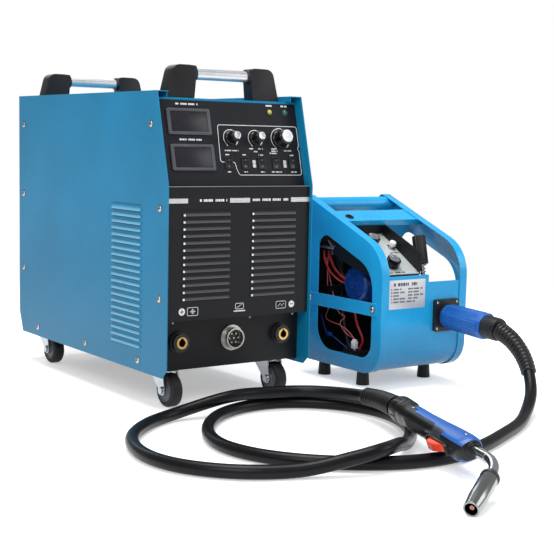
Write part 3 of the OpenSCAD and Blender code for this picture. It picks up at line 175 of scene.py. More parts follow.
def grained(name, light, dark, rough, grain, bump, cloud=0.35, spread=0.08, edge=0.0006, wear=None,
            wear_from=0.86, stretch=(1, 1, 1), metallic=0.0, specular=0.5, paints=()):
    """A surface with a real grain in millimetres, cloudy tone, softened edges and worn corners."""
    material, tree, where = blank(name)
    stretched = add(tree, "Mapping", {"Vector": where, "Scale": stretch})
    grains_to_metre = 1000.0 / grain
    fine = add(tree, "TexNoise", {"Vector": stretched, "Scale": grains_to_metre, "Detail": 3.0,
                                  "Roughness": 0.55}, "Fac")
    broad = add(tree, "TexNoise", {"Vector": where, "Scale": 7.0, "Detail": 4.0, "Roughness": 0.6}, "Fac")
    layers = [(add(tree, "MapRange", [broad, 0.5 - cloud / 2, 0.5 + cloud / 2]), light)]
    soft = add(tree, "Bevel", {"Radius": edge}, samples=6)
    if wear:
        flat = add(tree, "NewGeometry", out="Normal")
        bend = add(tree, "VectorMath", [soft, flat], "Value", operation="DOT_PRODUCT")
        on_edge = add(tree, "MapRange", [bend, 0.985, wear_from])
        in_patches = add(tree, "MapRange", [broad, 0.35, 0.75])
        layers.append((add(tree, "Math", [on_edge, in_patches], operation="MULTIPLY"), wear))
    for paint in paints:
        layers += paint(tree, where)
    base = layered(tree, dark, layers)
    shine = add(tree, "MapRange", [fine, 0.4, 0.6, rough - spread, rough + spread])
    relief = grain * MM * 0.35
    normal = add(tree, "Bump", {"Strength": bump, "Distance": relief, "Height": fine, "Normal": soft})
    shader = add(tree, "BsdfPrincipled", {"Base Color": base, "Metallic": metallic, "Roughness": shine,
                                          "Specular IOR Level": specular, "Normal": normal})
    add(tree, "OutputMaterial", {"Surface": shader}, None)
    return material


def painted_floor_shade(hex_code, start, end, share):
    """Painted shade that deepens towards the floor, between two heights."""
    def paint(tree, where):
        height = add(tree, "SeparateXYZ", [where], "Z")
        return [(add(tree, "MapRange", [height, start, end, share, 0.0]), hex_code)]
    return paint


# In metres, as the nodes take them
LOUVRE_PITCH = 0.012
# How far out of the cabinet's middle the covers' faces are
COVER_FACE = 0.150
# What stands out of the sheet by more than the first is a hood, and what lies deeper than the second is inside
HOOD_FROM, SHEET_FROM = 0.0004, -0.0003
# The painted glint at the end of each hood: how long it is, and its share of the pitch
GLINT_LONG, GLINT_TALL = 0.0036, 0.30


def louvred(side, low, high, centres, half, light, dark, painted_glint=None):
    """Painted light for banks of pressed louvres: a painted highlight where a hood stands proud, painted shadow under
    each lip, and painted glints at the hoods' ends.
    """
    def paint(tree, where):
        x, y, z = add(tree, "SeparateXYZ", [where], None).outputs
        known = {"x": x, "y": y, "z": z, "along": y if side else x, "banks": 0.0, "glints": 0.0}
        # Each row of the working is a result, an operation and its terms
        if side:
            rows = [("stand", "SUBTRACT", "x", CABINET.translation.x), ("stand", "ABSOLUTE", "stand"),
                    ("stand", "SUBTRACT", "stand", COVER_FACE)]
        else:
            rows = [("stand", "SUBTRACT", FRONT.translation.y, "y")]
        rows += [("step", "SUBTRACT", "z", low), ("step", "DIVIDE", "step", LOUVRE_PITCH), ("step", "FRACT", "step"),
                 ("hood", "GREATER_THAN", "stand", HOOD_FROM), ("sheet", "GREATER_THAN", "stand", SHEET_FROM),
                 ("sheet", "SUBTRACT", "sheet", "hood"),
                 ("above", "GREATER_THAN", "z", low), ("below", "LESS_THAN", "z", high),
                 ("end", "LESS_THAN", "step", GLINT_TALL), ("end", "MULTIPLY", "end", "hood")]
        # Which places lie in a bank, and where the painted glint falls at each hood's end
        for centre in centres:
            rows += [("off", "SUBTRACT", "along", centre), ("off", "ABSOLUTE", "off"),
                     ("off", "LESS_THAN", "off", half), ("banks", "MAXIMUM", "banks", "off"),
                     ("from_end", "SUBTRACT", "along", centre - half), ("past", "GREATER_THAN", "from_end", 0.0),
                     ("near", "LESS_THAN", "from_end", GLINT_LONG), ("near", "MULTIPLY", "near", "past"),
                     ("near", "MULTIPLY", "near", "end"), ("glints", "MAXIMUM", "glints", "near")]
        # Painted shadow under each lip, and a painted highlight on each hood, brightest at its lip
        rows += [("lip", "FADE", "step", 0.62, 0.95, 0.0, 0.85), ("lip", "MULTIPLY", "lip", "sheet"),
                 ("lip", "MULTIPLY", "lip", "above"), ("lip", "MULTIPLY", "lip", "below"),
                 ("lip", "MULTIPLY", "lip", "banks"),
                 ("pale", "FADE", "step", 0.02, 0.46, 0.75, 0.12), ("pale", "MULTIPLY", "pale", "hood")]
        for result, operation, *terms in rows:
            terms = [known.get(term, term) for term in terms]
            known[result] = (add(tree, "MapRange", terms) if operation == "FADE"
                             else add(tree, "Math", terms, operation=operation))
        return [(known["lip"], dark), (known["pale"], light)] + ([(known["glints"], painted_glint)] if painted_glint else [])
    return paint


# The output sockets on the cabinet in millimetres: their places across, their height and their brass
SOCKET_AXES = (-107, 107)
SOCKET_HEIGHT = 117
CORE_RADIUS, BORE_RADIUS = 10.5, 6.65


def socket_finish():
    """Black moulded collars round brass cores, with painted shade in the bores: the parts are told apart by their
    distance from the axes.
    """
    material, tree, where = blank("collared_socket")
    masks = [0.0, 0.0]
    for x in SOCKET_AXES:
        centre = CABINET @ (Vector((x, 0, SOCKET_HEIGHT)) * MM)
        flat = add(tree, "Mapping", {"Vector": where, "Location": (-centre.x, 0, -centre.z), "Scale": (1, 0, 1)})
        far = add(tree, "VectorMath", [flat], "Value", operation="LENGTH")
        for i, radius in enumerate((CORE_RADIUS, BORE_RADIUS)):
            inside = add(tree, "Math", [far, radius * MM], operation="LESS_THAN")
            masks[i] = add(tree, "Math", [masks[i], inside], operation="MAXIMUM")
    core, bore_shade = masks
    tone = add(tree, "TexNoise", {"Vector": where, "Scale": 400.0, "Detail": 3.0}, "Fac")
    # The bore is painted a darker brass: painted shade inside the hole
    brass = layered(tree, "#d9a95a", [(tone, "#f0d092"), (bore_shade, "#7c4c14")])
    soft = add(tree, "Bevel", {"Radius": 0.0007}, samples=6)
    shader = add(tree, "BsdfPrincipled", {
        "Base Color": layered(tree, "#1a1a1d", [(core, brass)]), "Metallic": core,
        "Roughness": add(tree, "MapRange", {"Value": core, "To Min": 0.42, "To Max": 0.28}),
        "Normal": add(tree, "Bump", {"Strength": 0.1, "Distance": 0.0003, "Height": tone, "Normal": soft})})
    add(tree, "OutputMaterial", {"Surface": shader}, None)
    return material


finishes = {}


def mix_finishes():
    """Every finish of the set, named for what the real surface is."""
    tint = bpy.context.scene.welder_colours
    cabinet, feeder, panel, torch, trigger = (
        plain_hex(c) for c in (tint.cabinet, tint.feeder, tint.panel, tint.torch, tint.trigger))
    f = finishes
    # Polyester powder coat: an orange peel of about a millimetre, half gloss, pale where edges rub
    f["cabinet_coat"] = grained("cabinet_powder_coat", cabinet, shade(cabinet, 0.93), 0.34, 1.3, 0.10,
                                wear="#6fb9de", specular=0.22,
                                # Painted shade that darkens the covers towards the floor
                                paints=[painted_floor_shade("#03698f", 0.08, 0.34, 0.45),
                                        # Painted highlight and painted shadow on the side louvres
                                        louvred(True, 0.101, 0.353, [CABINET.translation.y + 0.1455], 0.0525,
                                                "#8ed3f0", "#0a4a66")])
    f["feeder_coat"] = grained("feeder_powder_coat", feeder, shade(feeder, 0.94), 0.26, 1.3, 0.08,
                               edge=0.0010, wear="#86cdf2", specular=0.35,
                               # Painted shade that darkens the feeder towards the floor
                               paints=[painted_floor_shade("#0b5a86", 0.035, 0.132, 0.75)])
    # Fine-texture powder coat: a dull black grit of half a millimetre, drawn at 0.7 to show
    f["panel_coat"] = grained("panel_texture_coat", panel, shade(panel, 0.82), 0.50, 0.7, 0.20,
                              wear="#55565c", specular=0.2)
    f["bay_coat"] = grained("bay_texture_coat", "#121317", "#0d0d10", 0.42, 0.7, 0.20, wear="#3a3b40", specular=0.25)
    f["louvred_coat"] = grained("front_texture_coat", "#16171b", "#101114", 0.42, 0.7, 0.20, wear="#3a3b40",
                                specular=0.25,
                                # Painted highlight, painted shadow and painted glints on the front louvres
                                paints=[louvred(False, 0.193, 0.349,
                                                [CABINET.translation.x + x for x in (-0.07, 0.07)], 0.047,
                                                "#63646b", "#020203", "#e6e6e8")])
    # Injection moulded ABS: a spark-eroded grain and a dull sheen
    f["black_abs"] = grained("black_moulded_abs", "#1c1c20", "#131316", 0.42, 0.9, 0.18, edge=0.0010,
                             wear="#55555a", wear_from=0.8, specular=0.35)
    f["gloss_abs"] = grained("black_gloss_abs", "#111214", "#0b0b0d", 0.22, 2.0, 0.04, edge=0.0008,
                             wear="#3b3c40", spread=0.05, specular=0.4)
    f["bezel_abs"] = grained("grey_bezel_abs", "#56585e", "#4a4c52", 0.42, 0.9, 0.12, edge=0.0008, wear="#85868a",
                             specular=0.35)
    f["cheek_abs"] = grained("satin_grey_abs", "#3b3e43", "#303338", 0.34, 0.9, 0.10, edge=0.0006, wear="#6a6d72",
                             specular=0.4)
    f["white_abs"] = grained("white_moulded_abs", "#f2f2f0", "#e6e6e4", 0.32, 1.6, 0.05, edge=0.0008)
    # Moulded nylon: a smoother, slightly waxy skin that greys where it is handled
    f["torch_blue"] = grained("blue_moulded_nylon", torch, shade(torch, 0.86), 0.34, 1.2, 0.12, edge=0.0009,
                              wear="#6aa5ea")
    f["trigger_orange"] = grained("orange_moulded_nylon", trigger, shade(trigger, 0.9), 0.3, 1.2, 0.08,
                                  edge=0.0008, wear="#ff8a6a")
    f["hub_plastic"] = grained("natural_nylon", "#dfe1e2", "#cfd1d3", 0.42, 1.4, 0.10, edge=0.0010)
    # Vulcanised rubber: no grain to speak of, a soft grey bloom
    f["tyre_rubber"] = grained("tyre_rubber", "#222224", "#161617", 0.60, 0.8, 0.20, edge=0.0012, wear="#4c4c4e",
                               cloud=0.5, specular=0.3)
    f["foot_rubber"] = grained("foot_rubber", "#141516", "#0e0e0f", 0.50, 0.9, 0.16, edge=0.0012, wear="#3a3b3d",
                               specular=0.3)
    f["lead_rubber"] = grained("lead_rubber", "#111216", "#0c0d10", 0.34, 2.2, 0.03, edge=0.0002, spread=0.04,
                               cloud=0.6, specular=0.18)
    f["grip_rubber"] = grained("grip_elastomer", "#131416", "#0c0d0e", 0.36, 0.7, 0.14, edge=0.0010, wear="#45464a",
                                specular=0.4)
    # Bright zinc on pressed steel: faint blue and yellow clouds, fine drawing lines
    f["zinc"] = grained("bright_zinc_plate", "#c5cad0", "#a4a9b0", 0.30, 1.1, 0.08, edge=0.0005, metallic=1.0,
                        cloud=0.5, spread=0.1)
    # Nickel plate and turned steel: near white and sharp, and darker on the washers
    f["screw_nickel"] = grained("nickel_screw", "#cfd0d2", "#a9abae", 0.26, 1.0, 0.05, edge=0.0004, metallic=1.0)
    f["washer_steel"] = grained("dark_washer_steel", "#747a7a", "#555a5b", 0.36, 1.0, 0.06, edge=0.0003, metallic=1.0)
    f["turned_steel"] = grained("turned_steel", "#c9cbce", "#a7a9ad", 0.24, 0.5, 0.08, edge=0.0005, metallic=1.0,
                                stretch=(6, 1, 1))
    f["nickel_socket"] = grained("nickel_socket", "#d2d2cd", "#a8a8a2", 0.30, 0.5, 0.18, edge=0.0005, metallic=1.0)
    # Anodised tube and brushed sheet: satin, with the lines of the die or the belt along X
    f["anodised_tube"] = grained("anodised_aluminium_tube", "#e2e4e6", "#d6d9dc", 0.30, 0.9, 0.02, edge=0.0004,
                                 metallic=0.8, spread=0.03, stretch=(0.02, 1, 1))
    f["brushed_face"] = grained("brushed_aluminium_face", "#d3dad8", "#c2c9c8", 0.34, 0.6, 0.08, edge=0.0005,
                                metallic=0.25, stretch=(0.03, 1, 1))
    # Aluminium as cast and as rolled: dull grey, the casting rougher
    f["cast_grey"] = grained("diecast_grey", "#9a9da1", "#7e8185", 0.44, 1.0, 0.16, edge=0.0007, metallic=0.8)
    f["mill_aluminium"] = grained("mill_aluminium", "#a5a8ac", "#8b8e92", 0.42, 0.8, 0.10, metallic=0.9)
    # Turned brass and drawn copper: warm, with a fine line from the tool
    f["brass"] = grained("turned_brass", "#c8963f", "#a87828", 0.28, 0.6, 0.10, edge=0.0004, metallic=1.0)
    f["copper"] = grained("drawn_copper", "#c9805e", "#a9603f", 0.30, 0.7, 0.08, edge=0.0003, metallic=1.0)
    # Plate over copper: mirror smooth on the neck, clouded by spatter on the nozzle
    f["neck_chrome"] = grained("plated_neck", "#d6d8da", "#b7b9bc", 0.16, 1.6, 0.03, edge=0.0005, metallic=1.0)
    f["nozzle_plate"] = grained("spatter_dulled_nozzle", "#a2a4a4", "#8a8c8d", 0.20, 1.2, 0.02, edge=0.0005,
                                metallic=1.0, cloud=0.6, spread=0.04)
    # Motor enamel: thick gloss paint that lies smooth over the casting
    f["motor_coat"] = grained("motor_enamel", "#164da6", "#123c82", 0.30, 1.6, 0.08, edge=0.0010, wear="#6d93d6",
                              specular=0.4)
    # Screen ink: flat and thin, a little uneven
    f["white_ink"] = grained("white_screen_ink", "#f0f0f0", "#dededf", 0.55, 1.2, 0.06, edge=0.0001)
    f["grey_ink"] = grained("grey_screen_ink", "#8f9195", "#7d7f83", 0.55, 1.2, 0.05, edge=0.0001)
    f["black_ink"] = grained("black_screen_ink", "#1a1b1d", "#131416", 0.55, 1.2, 0.05, edge=0.0001)
    f["plate_ink"] = grained("grey_plate_ink", "#4b4d54", "#3e4046", 0.55, 1.2, 0.05, edge=0.0001)
    # Printed foil: satin, barely metallic, with strokes along it on the strips
    f["silver_foil"] = grained("silver_foil_strip", "#e4e4e6", "#c8c8cb", 0.30, 0.8, 0.05, edge=0.0002, metallic=0.6,
                               stretch=(0.03, 1, 1))
    f["plate_foil"] = grained("rating_plate_foil", "#d5d7da", "#c3c5c9", 0.36, 0.9, 0.05, edge=0.0003, metallic=0.35)
    # Smoked and tinted lenses: smooth, glossier than what is round them
    f["meter_window"] = grained("smoked_window", "#26262c", "#202026", 0.30, 3.0, 0.02, edge=0.0004,
                                spread=0.03, specular=0.3)
    f["lamp_yellow"] = grained("yellow_lens", "#d8d05a", "#b7af3a", 0.18, 2.0, 0.05, edge=0.0006, spread=0.04)
    f["lamp_green"] = grained("green_lens", "#1e7a55", "#155c40", 0.18, 2.0, 0.05, edge=0.0006, spread=0.04)
    # Silicone and PVC sleeves of wires: soft, dull, a little faded
    f["wire_red"] = grained("red_silicone_wire", "#c92a2c", "#a31c22", 0.40, 1.2, 0.08, edge=0.0004)
    f["wire_pink"] = grained("faded_red_wire", "#cf6a6f", "#b8474f", 0.42, 1.2, 0.08, edge=0.0004)
    f["wire_black"] = grained("black_pvc_wire", "#141517", "#0e0f10", 0.40, 1.2, 0.08, edge=0.0004, specular=0.35)
    f["socket_pair"] = socket_finish()


# ---------------------------------------------------------------- modelling helpers


def clear():
    if bpy.context.object and bpy.context.object.mode != "OBJECT":
        leave()
    bpy.ops.object.select_all(action="DESELECT")


def take(*pieces):
    """Selects only these pieces and makes the first one active."""
    clear()
    for piece in pieces:
        piece.select_set(True)
    bpy.context.view_layer.objects.active = pieces[0]


def edit(piece, mode="VERT"):
    """Opens a piece for editing with all of it selected."""
    take(piece)
    bpy.ops.object.mode_set(mode="EDIT")
    bpy.ops.mesh.select_mode(type=mode)
    bpy.ops.mesh.select_all(action="SELECT")


def leave():
    bpy.ops.object.mode_set(mode="OBJECT")


def edit_kept(piece, edges=False):
    """Opens a piece in face or edge mode and keeps what is selected."""
    take(piece)
    bpy.context.tool_settings.mesh_select_mode = (False, edges, not edges)
    bpy.ops.object.mode_set(mode="EDIT")


def selected_by(piece, wanted):
    """Opens a piece with the faces selected that the test picks by place in millimetres and normal."""
    edit(piece, "FACE")
    bpy.ops.mesh.select_all(action="DESELECT")
    leave()
    for face in piece.data.polygons:
        face.select = bool(wanted(face.center / MM, face.normal))
    edit_kept(piece)


def turned_out(piece):
    """Turns the faces of a closed piece outwards."""
    edit(piece)
    bpy.ops.mesh.normals_make_consistent(inside=False)
    leave()
    return piece


def settle(piece):
    """Puts a piece's place in its mesh, so that its object is at the origin."""
    piece.data.transform(piece.matrix_world)
    piece.matrix_world = Matrix()
    return piece


def rounded_off(piece, width, segments=2):
    edit(piece, "EDGE")
    bpy.ops.mesh.bevel(offset=width * MM, segments=segments, affect="EDGES", clamp_overlap=True)
    leave()
    return piece


def block(size, at, round_by=0.5, segments=2):
    """A bar or a box in millimetres with its edges eased."""
    clear()
    bpy.ops.mesh.primitive_cube_add(size=MM, location=Vector(at) * MM, scale=size)
    piece = settle(bpy.context.object)
    return rounded_off(piece, round_by, segments) if round_by else piece


def slab(outline, thick, at=0.0, round_by=0.0, segments=2):
    """A plate cut to an outline, pulled up from its plane."""
    clear()
    bpy.ops.mesh.primitive_circle_add(vertices=len(outline), radius=1, fill_type="NGON")
    piece = bpy.context.object
    for vertex, point in zip(piece.data.vertices, outline):
        vertex.co = (point[0] * MM, point[1] * MM, at * MM)
    edit(piece, "FACE")
    bpy.ops.mesh.extrude_region_move(TRANSFORM_OT_translate={"value": (0, 0, thick * MM)})
    leave()
    turned_out(piece)
    return rounded_off(piece, round_by, segments) if round_by else piece


def lathe(profile, steps=48):
    """A turned piece about Z from a profile of radii and heights in millimetres."""
    clear()
    bpy.ops.mesh.primitive_plane_add(size=MM)
    piece = bpy.context.object
    edit(piece)
    bpy.ops.mesh.merge(type="CENTER")
    bpy.ops.transform.translate(value=(profile[0][0] * MM, 0, profile[0][1] * MM))
    for (r0, z0), (r1, z1) in zip(profile, profile[1:]):
        bpy.ops.mesh.extrude_region_move(
            TRANSFORM_OT_translate={"value": ((r1 - r0) * MM, 0, (z1 - z0) * MM)})
    bpy.ops.mesh.select_all(action="SELECT")
    bpy.ops.mesh.spin(steps=steps, angle=2 * pi, center=(0, 0, 0), axis=(0, 0, 1))
    bpy.ops.mesh.select_all(action="SELECT")
    bpy.ops.mesh.remove_doubles(threshold=1e-6)
    bpy.ops.mesh.normals_make_consistent(inside=False)
    leave()
    return settle(piece)


def loft(stations, sides, place):
    """A round bar of a number of stations, each of its points put where place says by station and by side."""
    clear()
    bpy.ops.mesh.primitive_cylinder_add(vertices=sides, radius=1, depth=1, end_fill_type="NGON")
    piece = bpy.context.object
    selected_by(piece, lambda at, n: n.z > 0.9)
    for _ in range(stations - 2):
        bpy.ops.mesh.extrude_region_move(TRANSFORM_OT_translate={"value": (0, 0, 1)})
    leave()
    for vertex in piece.data.vertices:
        vertex.co = place(int(round(vertex.co.z + 0.5)), Vector((vertex.co.x, vertex.co.y)).normalized())
    return turned_out(piece)


def bent_line(name, points, radius, sides, closed=False):
    """A curve with a round section through points, all in metres."""
    data = bpy.data.curves.new(name, "CURVE")
    data.dimensions = "3D"
    data.bevel_depth = radius
    data.bevel_resolution = sides
    data.use_fill_caps = not closed
    line = data.splines.new("POLY")
    line.points.add(len(points) - 1)
    for spot, point in zip(line.points, points):
        spot.co = (*point, 1)
    line.use_cyclic_u = closed
    rod = bpy.data.objects.new(name, data)
    bpy.context.scene.collection.objects.link(rod)
    return rod


def strand(points, radius, closed=False, sides=3, flat=None):
    """A rod bent along points in millimetres, made a mesh, and pressed flat for print."""
    take(bent_line("strand", [Vector(point) * MM for point in points], radius * MM, sides, closed))
    bpy.ops.object.convert(target="MESH")
    piece = bpy.context.object
    return moved(piece, Matrix.Diagonal((1, 1, flat, 1))) if flat else piece


def inked(points, half_width, high, closed=False):
    """A printed line through points of a drawing plane."""
    return strand([(x, y, 0) for x, y in points], half_width, closed, flat=high / half_width)


def moved(piece, where):
    piece.data.transform(where)
    return piece


def copy_of(piece, where=Matrix()):
    """A copy with a mesh of its own, moved in the mesh."""
    twin = bpy.data.objects.new(piece.name, piece.data.copy())
    bpy.context.scene.collection.objects.link(twin)
    return moved(twin, where)


def joined(pieces):
    take(*pieces)
    if len(pieces) > 1:
        bpy.ops.object.join()
    return bpy.context.object


def cut_out(piece, cutter, crossing=False):
    """Takes a cutter's shape out of a piece; crossing is for a cutter whose bars run through each other."""
    take(piece)
    cut = piece.modifiers.new("cut", "BOOLEAN")
    cut.object, cut.operation, cut.solver, cut.use_self = cutter, "DIFFERENCE", "EXACT", crossing
    bpy.ops.object.modifier_apply(modifier="cut")
    bpy.data.objects.remove(cutter)
    return piece


def skin_of(piece, wanted, thick, name):
    """A closed shell of its own over some faces of a piece."""
    selected_by(piece, wanted)
    bpy.ops.mesh.duplicate()
    bpy.ops.mesh.separate(type="SELECTED")
    leave()
    shell = next(o for o in bpy.context.selected_objects if o != piece)
    shell.name = name
    edit(shell, "FACE")
    bpy.ops.mesh.extrude_region_shrink_fatten(TRANSFORM_OT_shrink_fatten={"value": thick * MM})
    leave()
    return turned_out(shell)


def from_node(name, dissolve=1.0):
    """A merged copy of a CAD node to shape further."""
    piece = copy_of(nodes[name])
    edit(piece)
    bpy.ops.mesh.remove_doubles(threshold=2e-6)
    bpy.ops.mesh.dissolve_limited(angle_limit=radians(dissolve))
    leave()
    return piece


def finish(piece, name, material, body="welder", replaces=(), smooth=32):
    """Names a piece, shades it, dresses it and lets it ride on its body."""
    piece.name = name
    piece.data.name = name
    take(piece)
    bpy.ops.object.shade_smooth_by_angle(angle=radians(smooth))
    piece.data.materials.clear()
    piece.data.materials.append(finishes[material])
    if replaces:
        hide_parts(*replaces)
    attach(piece, body)
    return piece


def on_circle(cx, cy, r, angle):
    """A point on a circle, by its angle in degrees."""
    return cx + r * cos(radians(angle)), cy + r * sin(radians(angle))


def arc(cx, cy, r, a0, a1, n=12):
    """The ends of n steps along an arc."""
    return [on_circle(cx, cy, r, a0 + (a1 - a0) * i / n) for i in range(n + 1)]


def rounded_rect(w, h, r, cx=0.0, cy=0.0):
    """A rectangle with round corners about a centre, from its right side round."""
    corners = ((1, 1, 0), (-1, 1, 90), (-1, -1, 180), (1, -1, 270))
    return [point for sx, sy, a in corners
            for point in arc(cx + sx * (w / 2 - r), cy + sy * (h / 2 - r), r, a, a + 90, 5)]


def smooth_route(points, n):
    """A curve through the points, n steps to each stretch, as the solid lead has."""
    pts = [Vector(p) for p in points]
    pts = [2 * pts[0] - pts[1]] + pts + [2 * pts[-1] - pts[-2]]
    out = []
    for i in range(1, len(pts) - 2):
        a, b, c, d = pts[i - 1:i + 3]
        for k in range(n):
            t = k / n
            out.append((2 * b + (c - a) * t + (2 * a - 5 * b + 4 * c - d) * t * t
                        + (3 * b - a - 3 * c + d) * t ** 3) / 2)
    return out + [pts[-2]]


# ---------------------------------------------------------------- the stage

# Each softbox: its name, its place, what it shines at, its width and height, and its power
LAMPS = (("key_softbox", (-2.6, -2.4, 2.6), (-0.1, -0.1, 0.2), (2.4, 2.0), 74),
         ("fill_softbox", (2.9, -2.2, 1.7), (0.1, -0.1, 0.2), (2.0, 2.0), 32),
         ("top_softbox", (-0.3, 0.1, 3.2), (0.0, 0.1, 0.3), (2.2, 1.8), 96),
         ("rear_softbox", (0.6, 3.2, 2.2), (0.0, 0.2, 0.3), (2.4, 1.6), 26))
CAMERA_LENS = 77.71
# From the power source's own origin
CAMERA_AT = Vector((-1.15031, -1.73245, 0.46667))
CAMERA_RIGHT = Vector((0.81761524, -0.57538899, 0.02080452))
CAMERA_UP = Vector((0.04809246, 0.10425655, 0.99338698))
CAMERA_AHEAD = Vector((0.57375293, 0.8112078, -0.11291361))


def rays_of(tree, *names):
    """A mask of the named kinds of ray."""
    path = add(tree, "LightPath", out=None)
    rays = 0.0
    for name in names:
        rays = add(tree, "Math", [rays, path.outputs[f"Is {name} Ray"]], operation="MAXIMUM")
    return rays


class WELDER_OT_stage(bpy.types.Operator):
    """Sets the floor, the soft lights and the camera"""
    bl_idname = "welder.stage"
    bl_label = "Stage"

    def execute(self, context):
        scene = context.scene
        scene.view_settings.view_transform = "Standard"
        clear()
        bpy.ops.mesh.primitive_plane_add(size=60, location=(0, 0, -0.0004))
        floor = bpy.context.object
        floor.name = "floor"
        # Pale paper that fades to the white of the room past about a metre
        material, tree, where = blank("pale_floor")
        far = add(tree, "VectorMath", [where], "Value", operation="LENGTH")
        fade = add(tree, "MapRange", [far, 0.9, 2.2], interpolation_type="SMOOTHSTEP")
        paper = add(tree, "BsdfDiffuse", {"Color": (0.82, 0.82, 0.82, 1)})
        lift = add(tree, "Emission", {"Strength": 0.42})
        lifted = add(tree, "AddShader", [paper, lift])
        white = add(tree, "Emission", {"Strength": 1.0})
        seen = add(tree, "MixShader", [fade, lifted, white])
        mix = add(tree, "MixShader", [rays_of(tree, "Camera", "Glossy", "Transmission"), paper, seen])
        add(tree, "OutputMaterial", {"Surface": mix}, None)
        floor.data.materials.append(material)

        scene.world = bpy.data.worlds.new("soft_room")
        scene.world.use_nodes = True
        tree = scene.world.node_tree
        tree.nodes.clear()
        room = add(tree, "Background", {"Color": (1, 1, 1, 1), "Strength": 0.36})
        sky = add(tree, "Background", {"Color": (1, 1, 1, 1), "Strength": 1.0})
        mix = add(tree, "MixShader", [rays_of(tree, "Camera", "Transmission"), room, sky])
        add(tree, "OutputWorld", {"Surface": mix}, None)

        for name, at, towards, size, power in LAMPS:
            data = bpy.data.lights.new(name, "AREA")
            data.shape = "RECTANGLE"
            data.size, data.size_y = size
            data.energy = power
            light = bpy.data.objects.new(name, data)
            light.location = at
            light.rotation_euler = (Vector(towards) - Vector(at)).to_track_quat("-Z", "Y").to_euler()
            scene.collection.objects.link(light)

        data = bpy.data.cameras.new("camera")
        data.sensor_width = 36.0
        data.lens = CAMERA_LENS
        data.clip_end = 200
        camera = bpy.data.objects.new("camera", data)
        axes = Matrix((CAMERA_RIGHT, CAMERA_UP, -CAMERA_AHEAD)).transposed().to_4x4()
        camera.matrix_world = Matrix.Translation(CAMERA_AT + CABINET.translation) @ axes
        scene.collection.objects.link(camera)
        scene.camera = camera
        return {"FINISHED"}


# ---------------------------------------------------------------- the lead

LEAD_ROUTE = [
    (444, -188, 130), (442, -226, 115), (437, -260, 90), (424, -288, 62), (398, -317, 37),
    (356, -347, 18), (300, -384, 11), (222, -424, 11), (142, -459, 11), (60, -481, 11),
    (-20, -471, 11), (-90, -436, 11), (-152, -381, 11), (-190, -314, 11), (-197, -240, 11),
    (-166, -160, 11), (-104, -90, 11), (-28, -54, 11), (50, -57, 11), (115, -103, 11),
    (151, -172, 11), (150, -246, 11), (112, -326, 11), (46, -394, 15), (-6, -434, 27),
    (-60, -463, 33), (-110, -455, 25), (-180, -428, 12), (-258, -387, 11), (-312, -317, 11),
    (-324, -236, 11), (-296, -150, 11), (-236, -84, 11), (-160, -46, 13), (-64, -58, 33),
    (10, -60, 33), (80, -84, 33), (122, -146, 36), (124, -226, 42), (95, -318, 47)]
# The tapered sleeve at the torch, by its radius at equal steps, and the ribbed one at the socket
TORCH_SLEEVE = [0.0150, 0.0142, 0.0136, 0.0131, 0.0127, 0.0124, 0.0121, 0.0118, 0.0116, 0.0114]
SOCKET_SLEEVE = [0.0160 - 0.0036 * k / 59 + (0.0014 if k % 4 in (1, 2) else -0.0010) for k in range(60)]


def frames_along(route):
    """Points with a heading and a side that doesn't twist, along a route in metres."""
    out, side = [], None
    for i, point in enumerate(route):
        ahead = (route[min(i + 1, len(route) - 1)] - route[max(i - 1, 0)]).normalized()
        side = ahead.orthogonal() if side is None else side
        side = (side - side.dot(ahead) * ahead).normalized()
        out.append((point, ahead, side))
    return out


class WELDER_OT_lead(bpy.types.Operator):
    """Lays the torch lead on its route and slips its bend reliefs over both ends"""
    bl_idname = "welder.lead"
    bl_label = "Torch lead"

    def execute(self, context):
        width = context.scene.welder_sizes.lead_width
        route = [CABINET @ (p * MM) for p in smooth_route(LEAD_ROUTE, 8)]
        cable = bent_line("torch_cable", route, width / 2, 6)
        cable.data.splines[0].use_smooth = True
        cable.data.materials.append(finishes["lead_rubber"])
        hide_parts("torch_lead")
        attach(cable, "welder")

        way = frames_along(route)
        length = [0.0]
        for a, b in zip(route, route[1:]):
            length.append(length[-1] + (b - a).length)
        total = length[-1]

        def at_length(s):
            """The lead's middle and its two sides, that far along it."""
            i = max(j for j in range(len(length) - 1) if length[j] <= s or j == 0)
            t = min(1.0, max(0.0, (s - length[i]) / (length[i + 1] - length[i])))
            p, ahead, side = (a.lerp(b, t) for a, b in zip(way[i], way[i + 1]))
            side = side.normalized()
            return p, side, ahead.normalized().cross(side)

        def coil(start, end, r0, r1, pitch, wire):
            """Turns of round wire that close in from one radius to another."""
            points, turns = [], abs(end - start) / pitch
            steps = int(turns * 14)
            for k in range(steps + 1):
                p, side, other = at_length(start + (end - start) * k / steps)
                a = 2 * pi * turns * k / steps
                points.append((p + (r0 + (r1 - r0) * k / steps) * (cos(a) * side + sin(a) * other)) / MM)
            return strand(points, wire, sides=2)

        def sheath(start, end, radii):
            """A sleeve along the lead, with its radius at equal steps."""
            def place(k, flat):
                p, side, other = at_length(start + (end - start) * k / (len(radii) - 1))
                return p + radii[k] * (flat.x * side + flat.y * other)
            return loft(len(radii), 20, place)

        # The torch end is a coiled relief: thick rubber turns on their sleeve
        torch_boot = joined([sheath(total - 0.004, total - 0.136, TORCH_SLEEVE),
                             coil(total - 0.010, total - 0.130, 0.0166, 0.0134, 0.0068, 1.9)])
        finish(torch_boot, "torch_bend_relief", "grip_rubber", replaces=["lead_boots"], smooth=60)
        socket_boot = sheath(0.0035, 0.118, SOCKET_SLEEVE)
        finish(socket_boot, "socket_bend_relief", "grip_rubber", smooth=40)
        tuple(route[0])
        return {"FINISHED"}


# ---------------------------------------------------------------- finishes of the solids

